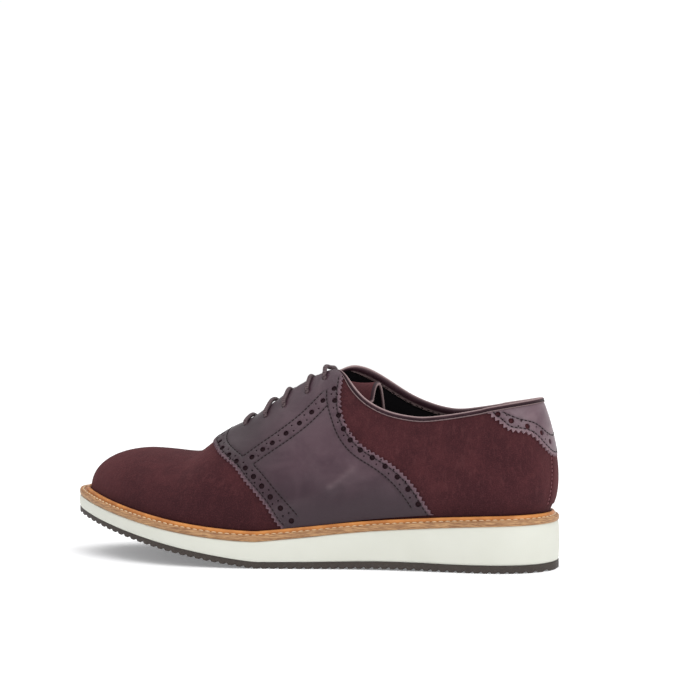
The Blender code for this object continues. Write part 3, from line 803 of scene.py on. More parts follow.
def pale_floor():
    finish = Finish("pale_floor", Specular_IOR_Level=0.1, Emission_Strength=0.20)
    finish.set("Emission Color", (0.97, 0.98, 1.0, 1.0))
    finish.set("Base Color", finish.mix(finish.noise(400.0, 2), tone(247, 247, 248), tone(250, 250, 250)))
    finish.set("Roughness", 0.9)
    return finish.material


SUEDE, WELT, FOAM, RUBBER = suede(), welt_leather(), foam(), rubber()
LINING = lining("black_lining", (14, 12, 14), (24, 21, 24))
# Painted shade: a sheet darker than the suede, set in the saddle's holes.
HOLE_SHADE = lining("painted_hole_shade", (24, 10, 15), (40, 20, 26))
CALF = calf("plum_calf", (60, 37, 48), (76, 54, 63), (112, 86, 95))
# A lighter copy of the plum calf: painted highlight for the light on the heel tab.
TAB_CALF_PAINTED_LIGHT = calf("plum_calf_heel_painted_highlight", (92, 70, 79), (116, 95, 102), (132, 106, 113))
# Dark trim whose pale edge tone is a painted highlight along the roll.
TRIM = calf("plum_trim", (42, 22, 29), (54, 32, 39), (186, 160, 160), 0.12, 0.0)
DARK_THREAD = thread("dark_plum_thread", (22, 9, 14), (38, 18, 25))
PALE_THREAD = thread("cream_thread", (214, 190, 150), (240, 224, 192))
RED_THREAD = thread("rose_thread", (110, 66, 72), (150, 100, 104))
BRAID = braid()


# Pieces


def finished(
    name, points, faces, materials, slot, nodes=(), face_slots=None, marks=None, flat_map=None, sharp=38
):
    """A piece from points in mm, with its outside facing out. It rides on the shoe."""
    points = np.asarray(points, float)
    faces = [list(map(int, face)) for face in faces]
    corners = np.array([(face[0], face[i], face[i + 1]) for face in faces for i in range(1, len(face) - 1)])
    a, b, c = (points[corners[:, k]] - points[0] for k in range(3))
    inside_out = np.einsum("ij,ij->i", a, np.cross(b, c)).sum() < 0
    if inside_out:
        faces = [face[::-1] for face in faces]
        if flat_map is not None:
            flat_map = [corner[::-1] for corner in flat_map]
    mesh = bpy.data.meshes.new(name)
    mesh.from_pydata((points - MIDDLE) * METRES, [], faces)
    for material in materials:
        mesh.materials.append(material)
    if face_slots is not None:
        mesh.polygons.foreach_set("material_index", np.asarray(face_slots, dtype=np.int32))
    for mark, values in (marks or {}).items():
        attribute = mesh.attributes.new(mark, "FLOAT", "POINT")
        attribute.data.foreach_set("value", np.asarray(values, dtype=np.float32))
    if flat_map is not None:
        flat = np.array([pair for corner in flat_map for pair in corner], dtype=np.float32)
        mesh.uv_layers.new(name="flat").data.foreach_set("uv", flat.ravel())
    mesh.update()
    piece = bpy.data.objects.new(name, mesh)
    bpy.context.scene.collection.objects.link(piece)
    bpy.ops.object.select_all(action="DESELECT")
    piece.select_set(True)
    bpy.context.view_layer.objects.active = piece
    bpy.ops.object.shade_smooth_by_angle(angle=math.radians(sharp))
    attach(piece, "root")
    if nodes:
        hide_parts(*nodes)
    return piece


def lofted(name, rings, materials, slot, closed=False, **more):
    """Skins rings of points. A closed loft joins its last ring to its first, an open one gets flat ends."""
    rings = np.asarray(rings, float)
    count, size = rings.shape[:2]
    around = np.concatenate([rings, rings[:, :1]], axis=1)
    steps = np.linalg.norm(np.diff(around, axis=1), axis=2)
    girth = np.concatenate([np.zeros((count, 1)), np.cumsum(steps, axis=1)], axis=1)
    girth = girth / girth[:, -1:]
    run = lengths_along(np.concatenate([rings, rings[:1]]).mean(axis=1))
    faces, flat_map = [], []
    for i in range(count if closed else count - 1):
        far = (i + 1) % count
        here, there = i * size, far * size
        for j in range(size):
            following = (j + 1) % size
            faces.append((here + j, there + j, there + following, here + following))
            corners = ((i, i, j), (i + 1, far, j), (i + 1, far, j + 1), (i, i, j + 1))
            flat_map.append([(run[step], girth[ring, place]) for step, ring, place in corners])
    if not closed:
        for ring, step in ((0, 1), (count - 1, -1)):
            for j in range(size // 2 - 1):
                order = (j, j + 1, size - 2 - j, size - 1 - j)[::step]
                faces.append([ring * size + k for k in order])
                flat_map.append([(run[ring], girth[ring, k]) for k in order])
    return finished(name, rings.reshape(-1, 3), faces, materials, slot, flat_map=flat_map, **more)


def open_edges(faces):
    """Edges with a face on one side only, in that face's own direction."""
    faces = np.asarray(faces)
    edges = np.stack([faces, np.roll(faces, -1, axis=1)], axis=2).reshape(-1, 2)
    key = np.sort(edges, axis=1)
    _, first, counts = np.unique(key, axis=0, return_index=True, return_counts=True)
    return edges[first[counts == 1]]


def walled(name, top, under, faces, materials, slot, marks=None, **more):
    """A sheet with a thickness: its outer face, its back, and the cut edge between them."""
    faces = np.asarray(faces)
    count, rim = len(top), open_edges(faces)
    walls = np.stack([rim[:, 1], rim[:, 0], rim[:, 0] + count, rim[:, 1] + count], axis=1)
    every = [*faces.tolist(), *(faces[:, ::-1] + count).tolist(), *walls.tolist()]
    slots = [0] * len(faces) + [len(materials) - 1] * (len(faces) + len(walls))
    marks = {mark: np.tile(values, 2) for mark, values in (marks or {}).items()}
    points = np.vstack([top, under])
    return finished(name, points, every, materials, slot, face_slots=slots, marks=marks, **more)


def nearest(points, others):
    """Distance in mm from each point to the nearest of the others."""
    found = []
    for part in np.array_split(points, len(points) // 400 + 1):
        found.append(np.linalg.norm(part[:, None] - others[None], axis=2).min(axis=1))
    return np.concatenate(found)


def inside(points, outline):
    """Which flat points lie inside a closed outline."""
    x, y = points[:, 0, None], points[:, 1, None]
    x1, y1 = outline.T
    x2, y2 = np.roll(outline, -1, axis=0).T
    rows = (y1 > y) != (y2 > y)
    with np.errstate(divide="ignore", invalid="ignore"):
        hits = rows & (x < (x2 - x1) * (y - y1) / (y2 - y1) + x1)
    return hits.sum(axis=1) % 2 == 1


# Spacing in mm of a flat pattern's loose points, and how far they keep from its holes, outline and grooves
GRID_STEP, HOLE_CLEAR, EDGE_CLEAR, GROOVE_CLEAR = 1.5, 0.35, 0.55, 0.6
GROOVE_LINES = (-0.7, 0.0, 0.7)
SEAM_DEPTH, RIM_DEPTH = 0.30, 0.22


def cut_piece(name, outline, teeth, holes, seams, scale, lift, thick, materials, slot, nodes):
    """Cuts a flat pattern, punches its holes, presses its seams in and pulls it over the last.

    teeth is the pinked part of the outline, if it has one, and seams are the stitched lines."""
    grooves = [beside(walk(seam, 1.1), side) for seam in seams for side in GROOVE_LINES]
    low, high, step = outline.min(axis=0), outline.max(axis=0), GRID_STEP / scale
    grid = np.stack(np.meshgrid(*(np.arange(low[k], high[k], step[k]) for k in (0, 1))), axis=-1)
    grid[1::2, :, 0] += step[0] / 2
    grid = grid.reshape(-1, 2)
    fixed = np.vstack([outline, *holes])
    loose = np.vstack([grid, *grooves])
    loose = loose[inside(loose, outline)]
    for hole in holes:
        centre, radius = hole.mean(axis=0), np.linalg.norm((hole - hole.mean(axis=0)) * scale, axis=1).max()
        loose = loose[np.linalg.norm((loose - centre) * scale, axis=1) > radius + HOLE_CLEAR]
    off_groove = nearest(loose * scale, np.vstack(grooves) * scale)
    clear = nearest(loose * scale, outline * scale) > EDGE_CLEAR
    loose = loose[clear & ((off_groove < 1e-6) | (off_groove > GROOVE_CLEAR))]
    edges, start = [], 0
    for loop in (outline, *holes):
        edges += [(start + i, start + (i + 1) % len(loop)) for i in range(len(loop))]
        start += len(loop)
    flat = np.vstack([fixed, loose]) * scale
    verts, _, faces, *_ = delaunay_2d_cdt([Vector(place) for place in flat], edges, [], 0, 1e-5, False)
    flat, faces = np.array(verts), np.array([face for face in faces if len(face) == 3])
    middles = flat[faces].mean(axis=1)
    kept = inside(middles, outline * scale)
    for hole in holes:
        centre = hole.mean(axis=0) * scale
        near = np.linalg.norm(middles - centre, axis=1) < 4
        kept[near] &= ~inside(middles[near], hole * scale)
    faces = faces[kept]
    used, faces = np.unique(faces, return_inverse=True)
    places, faces = flat[used] / scale, faces.reshape(-1, 3)
    base = lasted(places)
    sewn = np.vstack([lasted(walk(seam, 0.7)) for seam in seams])
    pressed = np.exp(-((nearest(base, sewn) / 0.55) ** 2))
    edge = np.zeros(len(base)) if teeth is None else np.exp(-nearest(base, lasted(teeth)) / 0.8)
    rim = np.zeros(len(places))
    rim[np.unique(open_edges(faces))] = 1
    top = lasted(places, lift + thick - SEAM_DEPTH * pressed - RIM_DEPTH * rim)
    # The third mark carries a painted highlight on crease ridges.
    marks = {"edge": edge, "seam": pressed, "painted_crease_highlight": np.clip(relief(base) / 0.8, 0, 1) ** 2}
    return walled(name, top, lasted(places, lift), faces, materials, slot, marks, nodes=nodes)


def model_stitch():
    """One stitch, a millimetre long and thick, as corner points and faces."""
    bpy.ops.object.select_all(action="DESELECT")
    bpy.ops.mesh.primitive_uv_sphere_add(segments=6, ring_count=4, radius=0.5)
    bpy.ops.object.mode_set(mode="EDIT")
    bpy.ops.mesh.select_all(action="SELECT")
    bpy.ops.transform.rotate(value=math.pi / 2, orient_axis="Y", center_override=(0, 0, 0))
    bpy.ops.object.mode_set(mode="OBJECT")
    model = bpy.context.object
    points = np.array([vertex.co for vertex in model.data.vertices])
    faces = [list(face.vertices) for face in model.data.polygons]
    bpy.data.objects.remove(model)
    return points, faces


STITCH = model_stitch()


def sew(name, runs, length, width, material, slot):
    """Stitches along runs of (points, normals): each run's points are the stitches' middles."""
    shape, shape_faces = STITCH
    x, y, z = shape[:, :1] * length, shape[:, 1:2] * width, shape[:, 2:] * width
    all_points, all_faces = [], []
    for points, normals in runs:
        forward = unit(np.gradient(points, axis=0))
        sideways = np.cross(normals, forward)
        for place, ahead, side, up in zip(points, forward, sideways, normals):
            start = len(all_points) * len(shape)
            all_points.append(place + x * ahead + y * side + z * up)
            all_faces += [[start + corner for corner in face] for face in shape_faces]
    return finished(name, np.vstack(all_points), all_faces, [material], slot, sharp=80)


def stitched(lines, pitch, lift):
    """Runs for sew: the middles of stitches along flat lines."""
    runs = []
    for line in lines:
        line = walk(line, pitch)
        line = (line[1:] + line[:-1]) / 2
        runs.append((lasted(line, lift), last_normal(*split(line))))
    return runs


def swept(points, radius, count):
    """Rings of a round cord along a line of points."""
    forward = unit(np.gradient(points, axis=0))
    side = unit(np.cross(forward, (0.0, 0.0, 1.0)))
    for i in range(1, len(side)):
        if side[i] @ side[i - 1] < 0:
            side[i] = -side[i]
    up = np.cross(side, forward)
    turns = np.linspace(0, 2 * math.pi, count, endpoint=False)
    around = np.cos(turns)[None, :, None] * side[:, None] + np.sin(turns)[None, :, None] * up[:, None]
    return points[:, None] + radius * around


# Sole and welt


def outline_angles(count):
    """Angles from heel to toe along the outer side, at even steps of the sole's edge."""
    fine = np.linspace(0, math.pi, 4001)
    run = lengths_along(sole_edge(fine))
    return np.interp(np.linspace(0, run[-1], count), run, fine)


def both_ways(outer):
    """The angles all the way round, from those of the outer side."""
    return np.concatenate([outer, 2 * math.pi - outer[-2:0:-1]])


# Corners of a saw tooth: share of the pitch, share of the depth
TOOTH = ((0.0, 0.85), (0.10, 0.0), (0.55, 0.0), (0.70, 1.0))


def make_outsole():
    """The tread: saw teeth across the whole sole, on a thin sheet."""
    end = 0.02
    places, depths = np.array(TOOTH).T
    teeth = np.arange(0, SOLE_LENGTH, TOOTH_PITCH)[:, None] + places * TOOTH_PITCH
    near_ends = SOLE_LENGTH * (1 - np.cos(np.linspace(0.02, 0.42, 14))) / 2
    x = np.concatenate([teeth.ravel(), near_ends, SOLE_LENGTH - near_ends])
    deep = np.concatenate([np.tile(depths, len(teeth)), np.full(2 * len(near_ends), np.nan)])
    order = np.argsort(x)
    x, deep = x[order], deep[order]
    known = ~np.isnan(deep)
    deep = np.interp(x, x[known], deep[known])
    keep = (x > end) & (x < SOLE_LENGTH - end) & (np.diff(x, prepend=-1) > 0.05)
    x, deep = x[keep], deep[keep]
    angle = angle_at(x / SOLE_LENGTH)
    outer, inner = ACROSS(angle), ACROSS(2 * math.pi - angle)
    low, high = ground(x) + TOOTH_DEPTH * deep, midsole_bottom(x) - 0.05
    rings = []
    for side, height in ((0, 0), (1, 0), (1, 1), (0, 1)):
        rings.append(np.stack([x, np.where(side, outer, inner), low + (high - low) * height], axis=-1))
    lofted("tread", np.stack(rings, axis=1), [RUBBER], "dark_rubber", nodes=["outsole"], sharp=30)


def slab(name, profile, bottom, top, count, materials, slot, nodes, base_inset=np.zeros_like):
    """A slab between both sides of the outline. profile has rows of (inset in mm, share of the height)."""
    angle = np.linspace(0.004, math.pi - 0.004, count)
    rings = []
    for mirror in (False, True):
        for inset, share in profile if mirror else profile[::-1]:
            x, y = sole_edge(2 * math.pi - angle if mirror else angle, inset + base_inset(angle)).T
            rings.append(np.stack([x, y, bottom(x) + (top(x) - bottom(x)) * share], axis=-1))
    return lofted(name, np.stack(rings, axis=1), materials, slot, nodes=nodes, sharp=50)


#   inset  share of the height
MIDSOLE_PROFILE = (
    (0.9, 0.0),
    (0.25, 0.02),
    (0.0, 0.08),
    (-0.25, 0.30),
    (-0.30, 0.55),
    (-0.15, 0.80),
    (0.15, 0.95),
    (0.8, 1.0),
)
INSOLE_PROFILE = ((0.0, 0.0), (0.0, 0.8), (1.0, 1.0))

#   inset  height  how much cut edge and how much seam shows, up the outside and over to the bead
WELT_PROFILE = (
    (0.5, 0.0, 1, 0),
    (0.08, 0.35, 1, 0),
    (-0.12, 1.1, 1, 0),
    (-0.15, 2.1, 1, 0),
    (0.05, 3.0, 1, 0),
    (0.45, 3.5, 0.9, 0),
    (1.1, 3.68, 0.45, 0.1),
    (1.6, 3.55, 0.1, 0.6),
    (2.1, 3.32, 0, 1),
    (2.6, 3.36, 0, 0.9),
)
BEAD_SUNK = 0.35
BEAD_STEPS = 9
WELT_STITCH_PITCH, WELT_STITCH_LENGTH, WELT_STITCH_WIDTH = 3.9, 2.9, 0.95
WELT_STITCH_INSET, WELT_STITCH_RISE = 2.1, 3.62


def make_welt():
    """The welt's ring: a cut edge outside, a sunk line for the stitches, and a bead against the upper."""
    angle = both_ways(outline_angles(300))
    reach = welt_reach(angle)
    foot = last(angle, np.zeros(len(angle)))
    lean_point = last(angle, turn_at_rise(angle, BEAD_RISE))
    out = -(sole_edge(angle, 1.0) - sole_edge(angle, 0.0))
    lean = np.maximum(((lean_point - foot)[:, :2] * out).sum(axis=1), 0)
    bead = reach - lean - 0.05
    half = BEAD_WIDTH / 2
    rows = [row[:2] for row in WELT_PROFILE]
    for turn in np.linspace(0.12, math.pi * 0.94, BEAD_STEPS):
        height = WELT_THICK - BEAD_SUNK + (BEAD_RISE + BEAD_SUNK) * math.sin(turn)
        rows.append((bead - half - half * math.cos(turn), height))
    rows += [(reach - GAP, WELT_THICK), (reach + WELT_SEAT, WELT_THICK), (reach + WELT_SEAT, 0.0)]
    marks = [row[2] for row in WELT_PROFILE] + [0] * (BEAD_STEPS + 3)
    seams = [row[3] for row in WELT_PROFILE] + [0.5] + [0] * (BEAD_STEPS - 2) + [0.6, 0, 0, 0]
    rings = []
    for inset, height in rows:
        x, y = sole_edge(angle, np.broadcast_to(inset, len(angle))).T
        rings.append(np.stack([x, y, midsole_top(x) + 0.05 + height], axis=-1))
    rings = np.stack(rings, axis=1)
    spread = {"edge": np.tile(marks, len(angle)), "seam": np.tile(seams, len(angle))}
    lofted("storm_welt", rings, [WELT], "tan_leather", closed=True, nodes=["welt"], marks=spread, sharp=60)
    fine = both_ways(outline_angles(1500))
    x, y = sole_edge(fine, WELT_STITCH_INSET).T
    line = np.stack([x, y, midsole_top(x) + WELT_STITCH_RISE], axis=-1)
    line = np.vstack([line, line[:1]])
    run = lengths_along(line)
    places = picked(line, run, np.linspace(0, run[-1], int(run[-1] / WELT_STITCH_PITCH), endpoint=False))
    upright = np.tile([0.0, 0.0, 1.0], (len(places), 1))
    runs = [(places, upright)]
    sew("welt_stitches", runs, WELT_STITCH_LENGTH, WELT_STITCH_WIDTH, PALE_THREAD, "tan_leather")


# Upper


# A point in the room for the foot, from which the upper's outside faces away
INSIDE_POINT = np.array([150, 0, 40])


def make_upper():
    """The suede upper with its black lining: one shell, open at the collar, the throat and underneath."""
    corners = angle_at([FACING_TOP, VAMP_POINT, VAMP_POINT - 0.001, VAMP_POINT + 0.001])
    angle = both_ways(np.unique(np.concatenate([outline_angles(260), corners])))
    levels = np.sin(np.linspace(0, math.pi / 2, 58)) ** 0.9
    turns = open_turn(angle)[:, None] * levels[None]
    points = last(angle[:, None], turns)
    count, size = points.shape[:2]
    index = np.arange(count * size).reshape(count, size)
    following = np.roll(index, -1, axis=0)
    faces = np.stack([index[:, 1:], following[:, 1:], following[:, :-1], index[:, :-1]], axis=-1)
    faces = faces.reshape(-1, 4)
    bm = bmesh.new()
    verts = [bm.verts.new(point) for point in points.reshape(-1, 3)]
    for face in faces:
        bm.faces.new([verts[i] for i in face])
    bmesh.ops.remove_doubles(bm, verts=bm.verts, dist=0.02)
    bmesh.ops.dissolve_degenerate(bm, edges=bm.edges, dist=0.01)
    bmesh.ops.triangulate(bm, faces=bm.faces)
    bm.normal_update()
    bm.verts.index_update()
    points = np.array([vertex.co for vertex in bm.verts])
    normals = np.array([vertex.normal for vertex in bm.verts])
    faces = np.array([[vertex.index for vertex in face.verts] for face in bm.faces])
    bm.free()
    if (normals * (points - INSIDE_POINT))[points[:, 2] > 60].sum() < 0:
        normals = -normals
    top, under = points + normals * relief(points)[:, None], points - normals * UPPER_WALL
    walled("suede_upper", top, under, faces, [SUEDE, LINING], "burgundy_suede", nodes=["upper"])


def angle_on(along, side):
    """The outline's angle at a place along the sole, on the outer side for 1 and the inner side for -1."""
    angle = float(angle_at(along))
    return angle if side > 0 else 2 * math.pi - angle


def rim_places(start, end, side, count=60):
    """Flat places along the upper's rim or a facing's edge, between two places along the sole."""
    angle = np.linspace(angle_at(start), angle_at(end), count)
    turn = open_turn(angle if side > 0 else 2 * math.pi - angle)
    return np.stack([angle, turn if side > 0 else math.pi - turn], axis=-1)


def over_ridge(rows):
    """Rows of the outer side as flat places, and on over the ridge down the inner side."""
    places = chart(rows)
    return np.vstack([places, mirrored(places)[-2::-1]])


def make_holes(places, pins):
    """Big holes at the places, with a slanted pair of pinholes, pins mm apart, between each two."""
    holes = [ring_at(place, HOLE, HOLE_CORNERS) for place in places]
    for here, there in zip(places, places[1:]):
        middle = (here + there) / 2
        ahead = unit((lasted(there[None]) - lasted(here[None])))
        side = np.cross(last_normal(*split(middle[None])), ahead)
        for sign in (-1, 1):
            centre = shifted(middle[None], sign * pins / 2 * unit(side + 0.25 * ahead))[0]
            holes.append(ring_at(centre, PINHOLE, PINHOLE_CORNERS))
    return holes


def make_saddle():
    """The saddle, both facings in one piece with the part before the throat."""
    front, rear = smooth(over_ridge(FRONT_EDGE)), chart(REAR_EDGE)
    rear_inner = smooth(np.vstack([mirrored(rear), rim_places(REAR_TOP, FACING_TOP, -1)[:1]]))
    rear = smooth(np.vstack([rear, rim_places(REAR_TOP, FACING_TOP, 1)[:1]]))
    teeth_front = pinked(front, 3.0, -1.3)
    teeth_rear = pinked(rear, 3.0, 1.3)
    teeth_rear_inner = pinked(rear_inner, 3.0, -1.3)
    throat = np.array([float(angle_at(VAMP_POINT)), math.pi / 2])
    along, _, out = flat_to_last(throat[None])
    ahead = unit(along)
    side = np.cross(out, ahead)
    turns = np.linspace(-math.pi / 2, math.pi / 2, 9)[1:-1, None]
    spokes = THROAT_GAP * (np.cos(turns) * ahead + np.sin(turns) * side)
    curl = shifted(np.repeat(throat[None], len(turns), axis=0), spokes)
    if curl[0, 1] < curl[-1, 1]:
        curl = curl[::-1]
    outline = np.vstack([
        teeth_front,
        walk(np.array([teeth_front[-1], teeth_rear_inner[0]]), 1.2)[1:-1],
        teeth_rear_inner,
        walk(rim_places(REAR_TOP, FACING_TOP, -1), 0.9)[1:],
        walk(rim_places(FACING_TOP, VAMP_POINT - 0.0005, -1), 0.9)[1:],
        curl,
        walk(rim_places(VAMP_POINT - 0.0005, FACING_TOP, 1), 0.9),
        walk(rim_places(FACING_TOP, REAR_TOP, 1), 0.9)[1:-1],
        teeth_rear[::-1],
        walk(np.array([teeth_rear[0], teeth_front[0]]), 1.2)[1:-1],
    ])
    front_holes, throat_holes, rear_holes = over_ridge(FRONT_HOLES), chart(THROAT_HOLES), chart(REAR_HOLES)
    throat_row = smooth(throat_holes)
    band_front, band_rear = beside(smooth(front_holes), -4.6), beside(smooth(rear_holes), 4.6)
    lower, upper = (stretch(beside(throat_row, side), band_front, band_rear) for side in (4.4, -4.4))
    bands = [band_rear, lower, upper]
    sewn = [*drop_between(band_front, lower[0], upper[0]), *bands, *map(mirrored, bands)]
    sewn += [beside(front, -2.9), beside(rear, 2.9), beside(rear_inner, -2.9)]
    holes = make_holes(front_holes, SADDLE_PINS)
    for along, reach in zip(LACE_PLACES, EYELET_REACHES):
        for side in (1, -1):
            angle = angle_on(along, side)
            turn = float(turn_at_reach(angle, facing_reach(np.array(angle)) + reach))
            place = np.array([float(angle_at(along)), turn if side > 0 else math.pi - turn])
            holes.append(ring_at(place, EYELET, HOLE_CORNERS))
    for places in (throat_holes, rear_holes):
        holes += make_holes(places, SADDLE_PINS) + make_holes(mirrored(places), SADDLE_PINS)
    teeth = np.vstack([teeth_front, teeth_rear, teeth_rear_inner])
    overlay("leather_saddle", outline, teeth, holes, sewn, SADDLE_SCALE, CALF, "saddle")
    shaded_holes("saddle_hole_painted_shade", holes, "plum_leather")
    sew_overlay("saddle_stitches", sewn)


def overlay(name, outline, teeth, holes, sewn, scale, material, node):
    """A piece of smooth leather laid over the upper."""
    cut_piece(
        name, outline, teeth, holes, sewn, scale, OVERLAY_LIFT, LEATHER, [material], "plum_leather", [node]
    )


def sew_overlay(name, sewn):
    runs = stitched(sewn, STITCH_PITCH, OVERLAY_LIFT + LEATHER - STITCH_SUNK)
    sew(name, runs, STITCH_LENGTH, STITCH_WIDTH, DARK_THREAD, "plum_leather")


def shaded_holes(name, holes, slot):
    """Dark discs set in the punched holes at the upper's surface: painted shade in the holes."""
    points, faces = [], []
    for hole in holes:
        centre, count, start = hole.mean(axis=0), len(hole), len(points)
        rim = centre + (hole - centre) * 0.96
        points += [*lasted(rim, 0.30), *lasted(rim, -0.30)]
        front = [start + i for i in range(count)]
        back = [start + count + i for i in range(count)]
        faces += [front, back[::-1]]
        faces += [[front[i], front[i - 1], back[i - 1], back[i]] for i in range(count)]
    return finished(name, points, faces, [HOLE_SHADE], slot, sharp=20)


def flat_gaps(line, place):
    """Distances in mm on the saddle's flat pattern from a line's places to one place."""
    return np.linalg.norm((line - place) * SADDLE_SCALE, axis=1)


def stretch(line, *bands):
    """The line grown at both ends until it meets the bands."""
    ends = []
    for end, step in ((0, line[0] - line[6]), (-1, line[-1] - line[-7])):
        grown = [line[end] + step * share for share in np.linspace(0.1, 4, 40)]
        gaps = [min(flat_gaps(band, place).min() for band in bands) for place in grown]
        ends.append(np.array(grown[: int(np.argmin(gaps)) + 1]))
    return np.vstack([ends[0][::-1], line, ends[1]])


def drop_between(line, first, second):
    """The seam behind the front row, without its stretch inside the throat band on each side."""
    ends = (first, second, mirrored(first), mirrored(second))
    cuts = sorted(int(flat_gaps(line, place).argmin()) for place in ends)
    return [line[: cuts[0] + 1], line[cuts[1] : cuts[2] + 1], line[cuts[3] :]]


def round_heel(rows):
    """A line round the back of the heel, from the inner side to the outer, through rows of the outer side."""
    places = chart(rows)
    return smooth(np.vstack([places * (-1, 1), places[::-1]]))


def make_heel_tab():
    lower = round_heel(TAB_EDGE)
    teeth = pinked(lower, 3.1, -1.8)
    angle = np.linspace(lower[-1, 0], lower[0, 0], 90)
    rim = np.stack([angle, open_turn(angle)], axis=-1)
    outline = np.vstack([teeth, walk(rim, 1.0)[1:-1]])
    seam = round_heel(TAB_SEAM)
    rows = chart(TAB_HOLES)
    holes = make_holes(rows, TAB_PINS) + make_holes(rows * (-1, 1), TAB_PINS)
    sewn = [beside(lower, -3.0), seam]
    overlay("leather_heel_tab", outline, teeth, holes, sewn, HEEL_SCALE, TAB_CALF_PAINTED_LIGHT, "heel_tab")
    sew_overlay("heel_tab_stitches", sewn)


# The back strip's outer edge, from welt to heel tab: angle and turn
STRIP_SIDE = np.array([(0.135, 0.02 * 1.57), (0.108, 0.135 * 1.57), (0.078, 0.25 * 1.57)])


def make_back_strip():
    outer, inner = (smooth(STRIP_SIDE * (side, 1), 60) for side in (1, -1))
    outline = np.vstack([
        walk(outer, 1.2),
        walk(np.array([outer[-1], inner[-1]]), 1.2)[1:-1],
        walk(inner, 1.2)[::-1],
        walk(np.array([inner[0], outer[0]]), 1.2)[1:-1],
    ])
    sewn = [beside(outer, 1.5), beside(inner, -1.5)]
    slot = "burgundy_suede"
    cut_piece(
        "suede_back_strip", outline, None, [], sewn, HEEL_SCALE, STRIP_LIFT, STRIP_THICK,
        [SUEDE], slot, ["back_strip"],
    )
    sew("back_strip_stitches", stitched(sewn, 2.4, 0.62), 1.8, 0.6, RED_THREAD, slot)


#     up from the rim, out from the wall, how much pale edge shows (a painted highlight along the roll's
#     edges), and how much seam shows
BINDING_PROFILE = (
    (-0.35, 0.1, 0.1, 0.2),
    (-0.40, 0.5, 0.3, 0),
    (-0.1, 0.78, 0.6, 0.2),
    (0.35, 0.52, 0, 1.0),
    (0.9, 0.9, 0, 0.1),
    (1.5, 1.05, 0, 0),
    (2.1, 0.85, 0.5, 0),
    (2.7, 0.2, 1.0, 0),
    (2.95, -1.0, 0.5, 0),
    (2.75, -2.1, 0.1, 0),
    (2.1, -2.85, 0, 0),
    (1.2, -3.15, 0, 0),
    (0.0, -3.1, 0, 0),
    (-1.4, -2.95, 0.6, 0.9),
    (-2.2, -2.85, 0.9, 0.2),
    (-2.5, -2.2, 0.2, 0),
    (-1.5, -1.8, 0, 0),
    (-1.0, -1.0, 0, 0),
)
OVER_LEATHER = 1.05


def make_binding():
    """The rolled leather edge round the collar, sewn through below the roll."""
    outer = np.linspace(float(angle_at(FACING_TOP + 0.030)), 0, 220)
    angle = np.concatenate([outer, -outer[-2::-1]]) % (2 * math.pi)
    turn = open_turn(angle)
    base, out = last(angle, turn), last_normal(angle, turn)
    ends = np.minimum(np.arange(len(base)), np.arange(len(base))[::-1])
    forward = unit(np.gradient(base, axis=0))
    up = unit(np.cross(out, forward))
    up *= np.sign(up[len(up) // 2, 2])
    along = (1 - np.cos(angle)) / 2
    covers = np.clip((0.125 - along) / 0.008, 0, 1) + np.clip((along - 0.409) / 0.006, 0, 1)
    full = np.clip(ends / 16, 0.35, 1.0)
    rings = []
    for rise, offset, _, _ in BINDING_PROFILE:
        extra = covers * OVER_LEATHER * np.clip((offset + 0.6) / 0.8, 0, 1)
        outward = (offset + 1.0) * full - 1.0 + extra
        rings.append(base + up * (rise * full)[:, None] + out * outward[:, None])
    rings = np.stack(rings, axis=1)
    for _ in range(8):
        rings[1:-1] = (rings[:-2] + 2 * rings[1:-1] + rings[2:]) / 4
    _, _, edge, seam = np.array(BINDING_PROFILE).T
    marks = {"edge": np.tile(edge, len(base)), "seam": np.tile(seam, len(base))}
    nodes = ["collar_binding"]
    lofted("rolled_collar_edge", rings, [TRIM], "plum_leather", nodes=nodes, marks=marks, sharp=70)
    shares = np.linspace(0, 1, int(lengths_along(base)[-1] / 2.4))
    pick = np.round(np.interp(shares, np.linspace(0, 1, len(base)), np.arange(len(base)))).astype(int)
    pick = pick[ends[pick] > 26]
    outside = base + up * 0.35 + out * (0.62 + OVER_LEATHER * covers)[:, None]
    inner = base - up * 1.4 - out * 3.0
    runs = [(outside[pick], out[pick]), (inner[pick], -out[pick])]
    sew("collar_stitches", runs, 1.8, 0.55, DARK_THREAD, "plum_leather")


# The tongue's free end: where its arch starts along the sole, and its outer half's width and drop in mm
ARCH_START, ARCH_REACH, ARCH_DROP = 0.435, 18.0, 12.0


def tongue_grid():
    """The tongue's outer face as a grid of points from the throat to its free end, and the way out."""
    along = np.linspace(VAMP_POINT + 0.04, FACING_TOP - 0.062, 60)
    angle = angle_at(along)
    rows = []
    for share in np.linspace(-1, 1, 25):
        here = angle if share > 0 else 2 * math.pi - angle
        low = turn_at_reach(here, TONGUE_HALF_WIDTH)
        rows.append(last(here, math.pi / 2 - (math.pi / 2 - low) * abs(share)))
    grid = np.stack(rows, axis=1)
    opened = np.clip((ARCH_START - along) / (ARCH_START - along[-1]), 0, 1)
    opened = (opened**2 * (3 - 2 * opened))[:, None]
    share = np.linspace(-1, 1, 25)[None]
    crown, reach = grid[:, 12:13], ARCH_REACH * np.maximum(share, 0)
    arch_y = np.where(share > 0, crown[..., 1] + reach, grid[..., 1])
    inner_drop = (crown - grid)[..., 2] * (0.75 + 0.25 * np.abs(share))
    arch_z = crown[..., 2] - np.where(share > 0, ARCH_DROP * share**3, inner_drop)
    grid[..., 1] += opened * (arch_y - grid[..., 1])
    grid[..., 2] += opened * (arch_z - grid[..., 2])
    normal = unit(np.cross(np.gradient(grid, axis=0), np.gradient(grid, axis=1)))
    normal *= np.sign(normal[30, 12, 2])
    top = grid - normal * (UPPER_WALL + 2 * GAP)
    top[..., 2] -= FALL(along)[:, None] * INSTEP_RISE
    normal = unit(np.cross(np.gradient(top, axis=0), np.gradient(top, axis=1)))
    return top, normal * np.sign(normal[30, 12, 2])


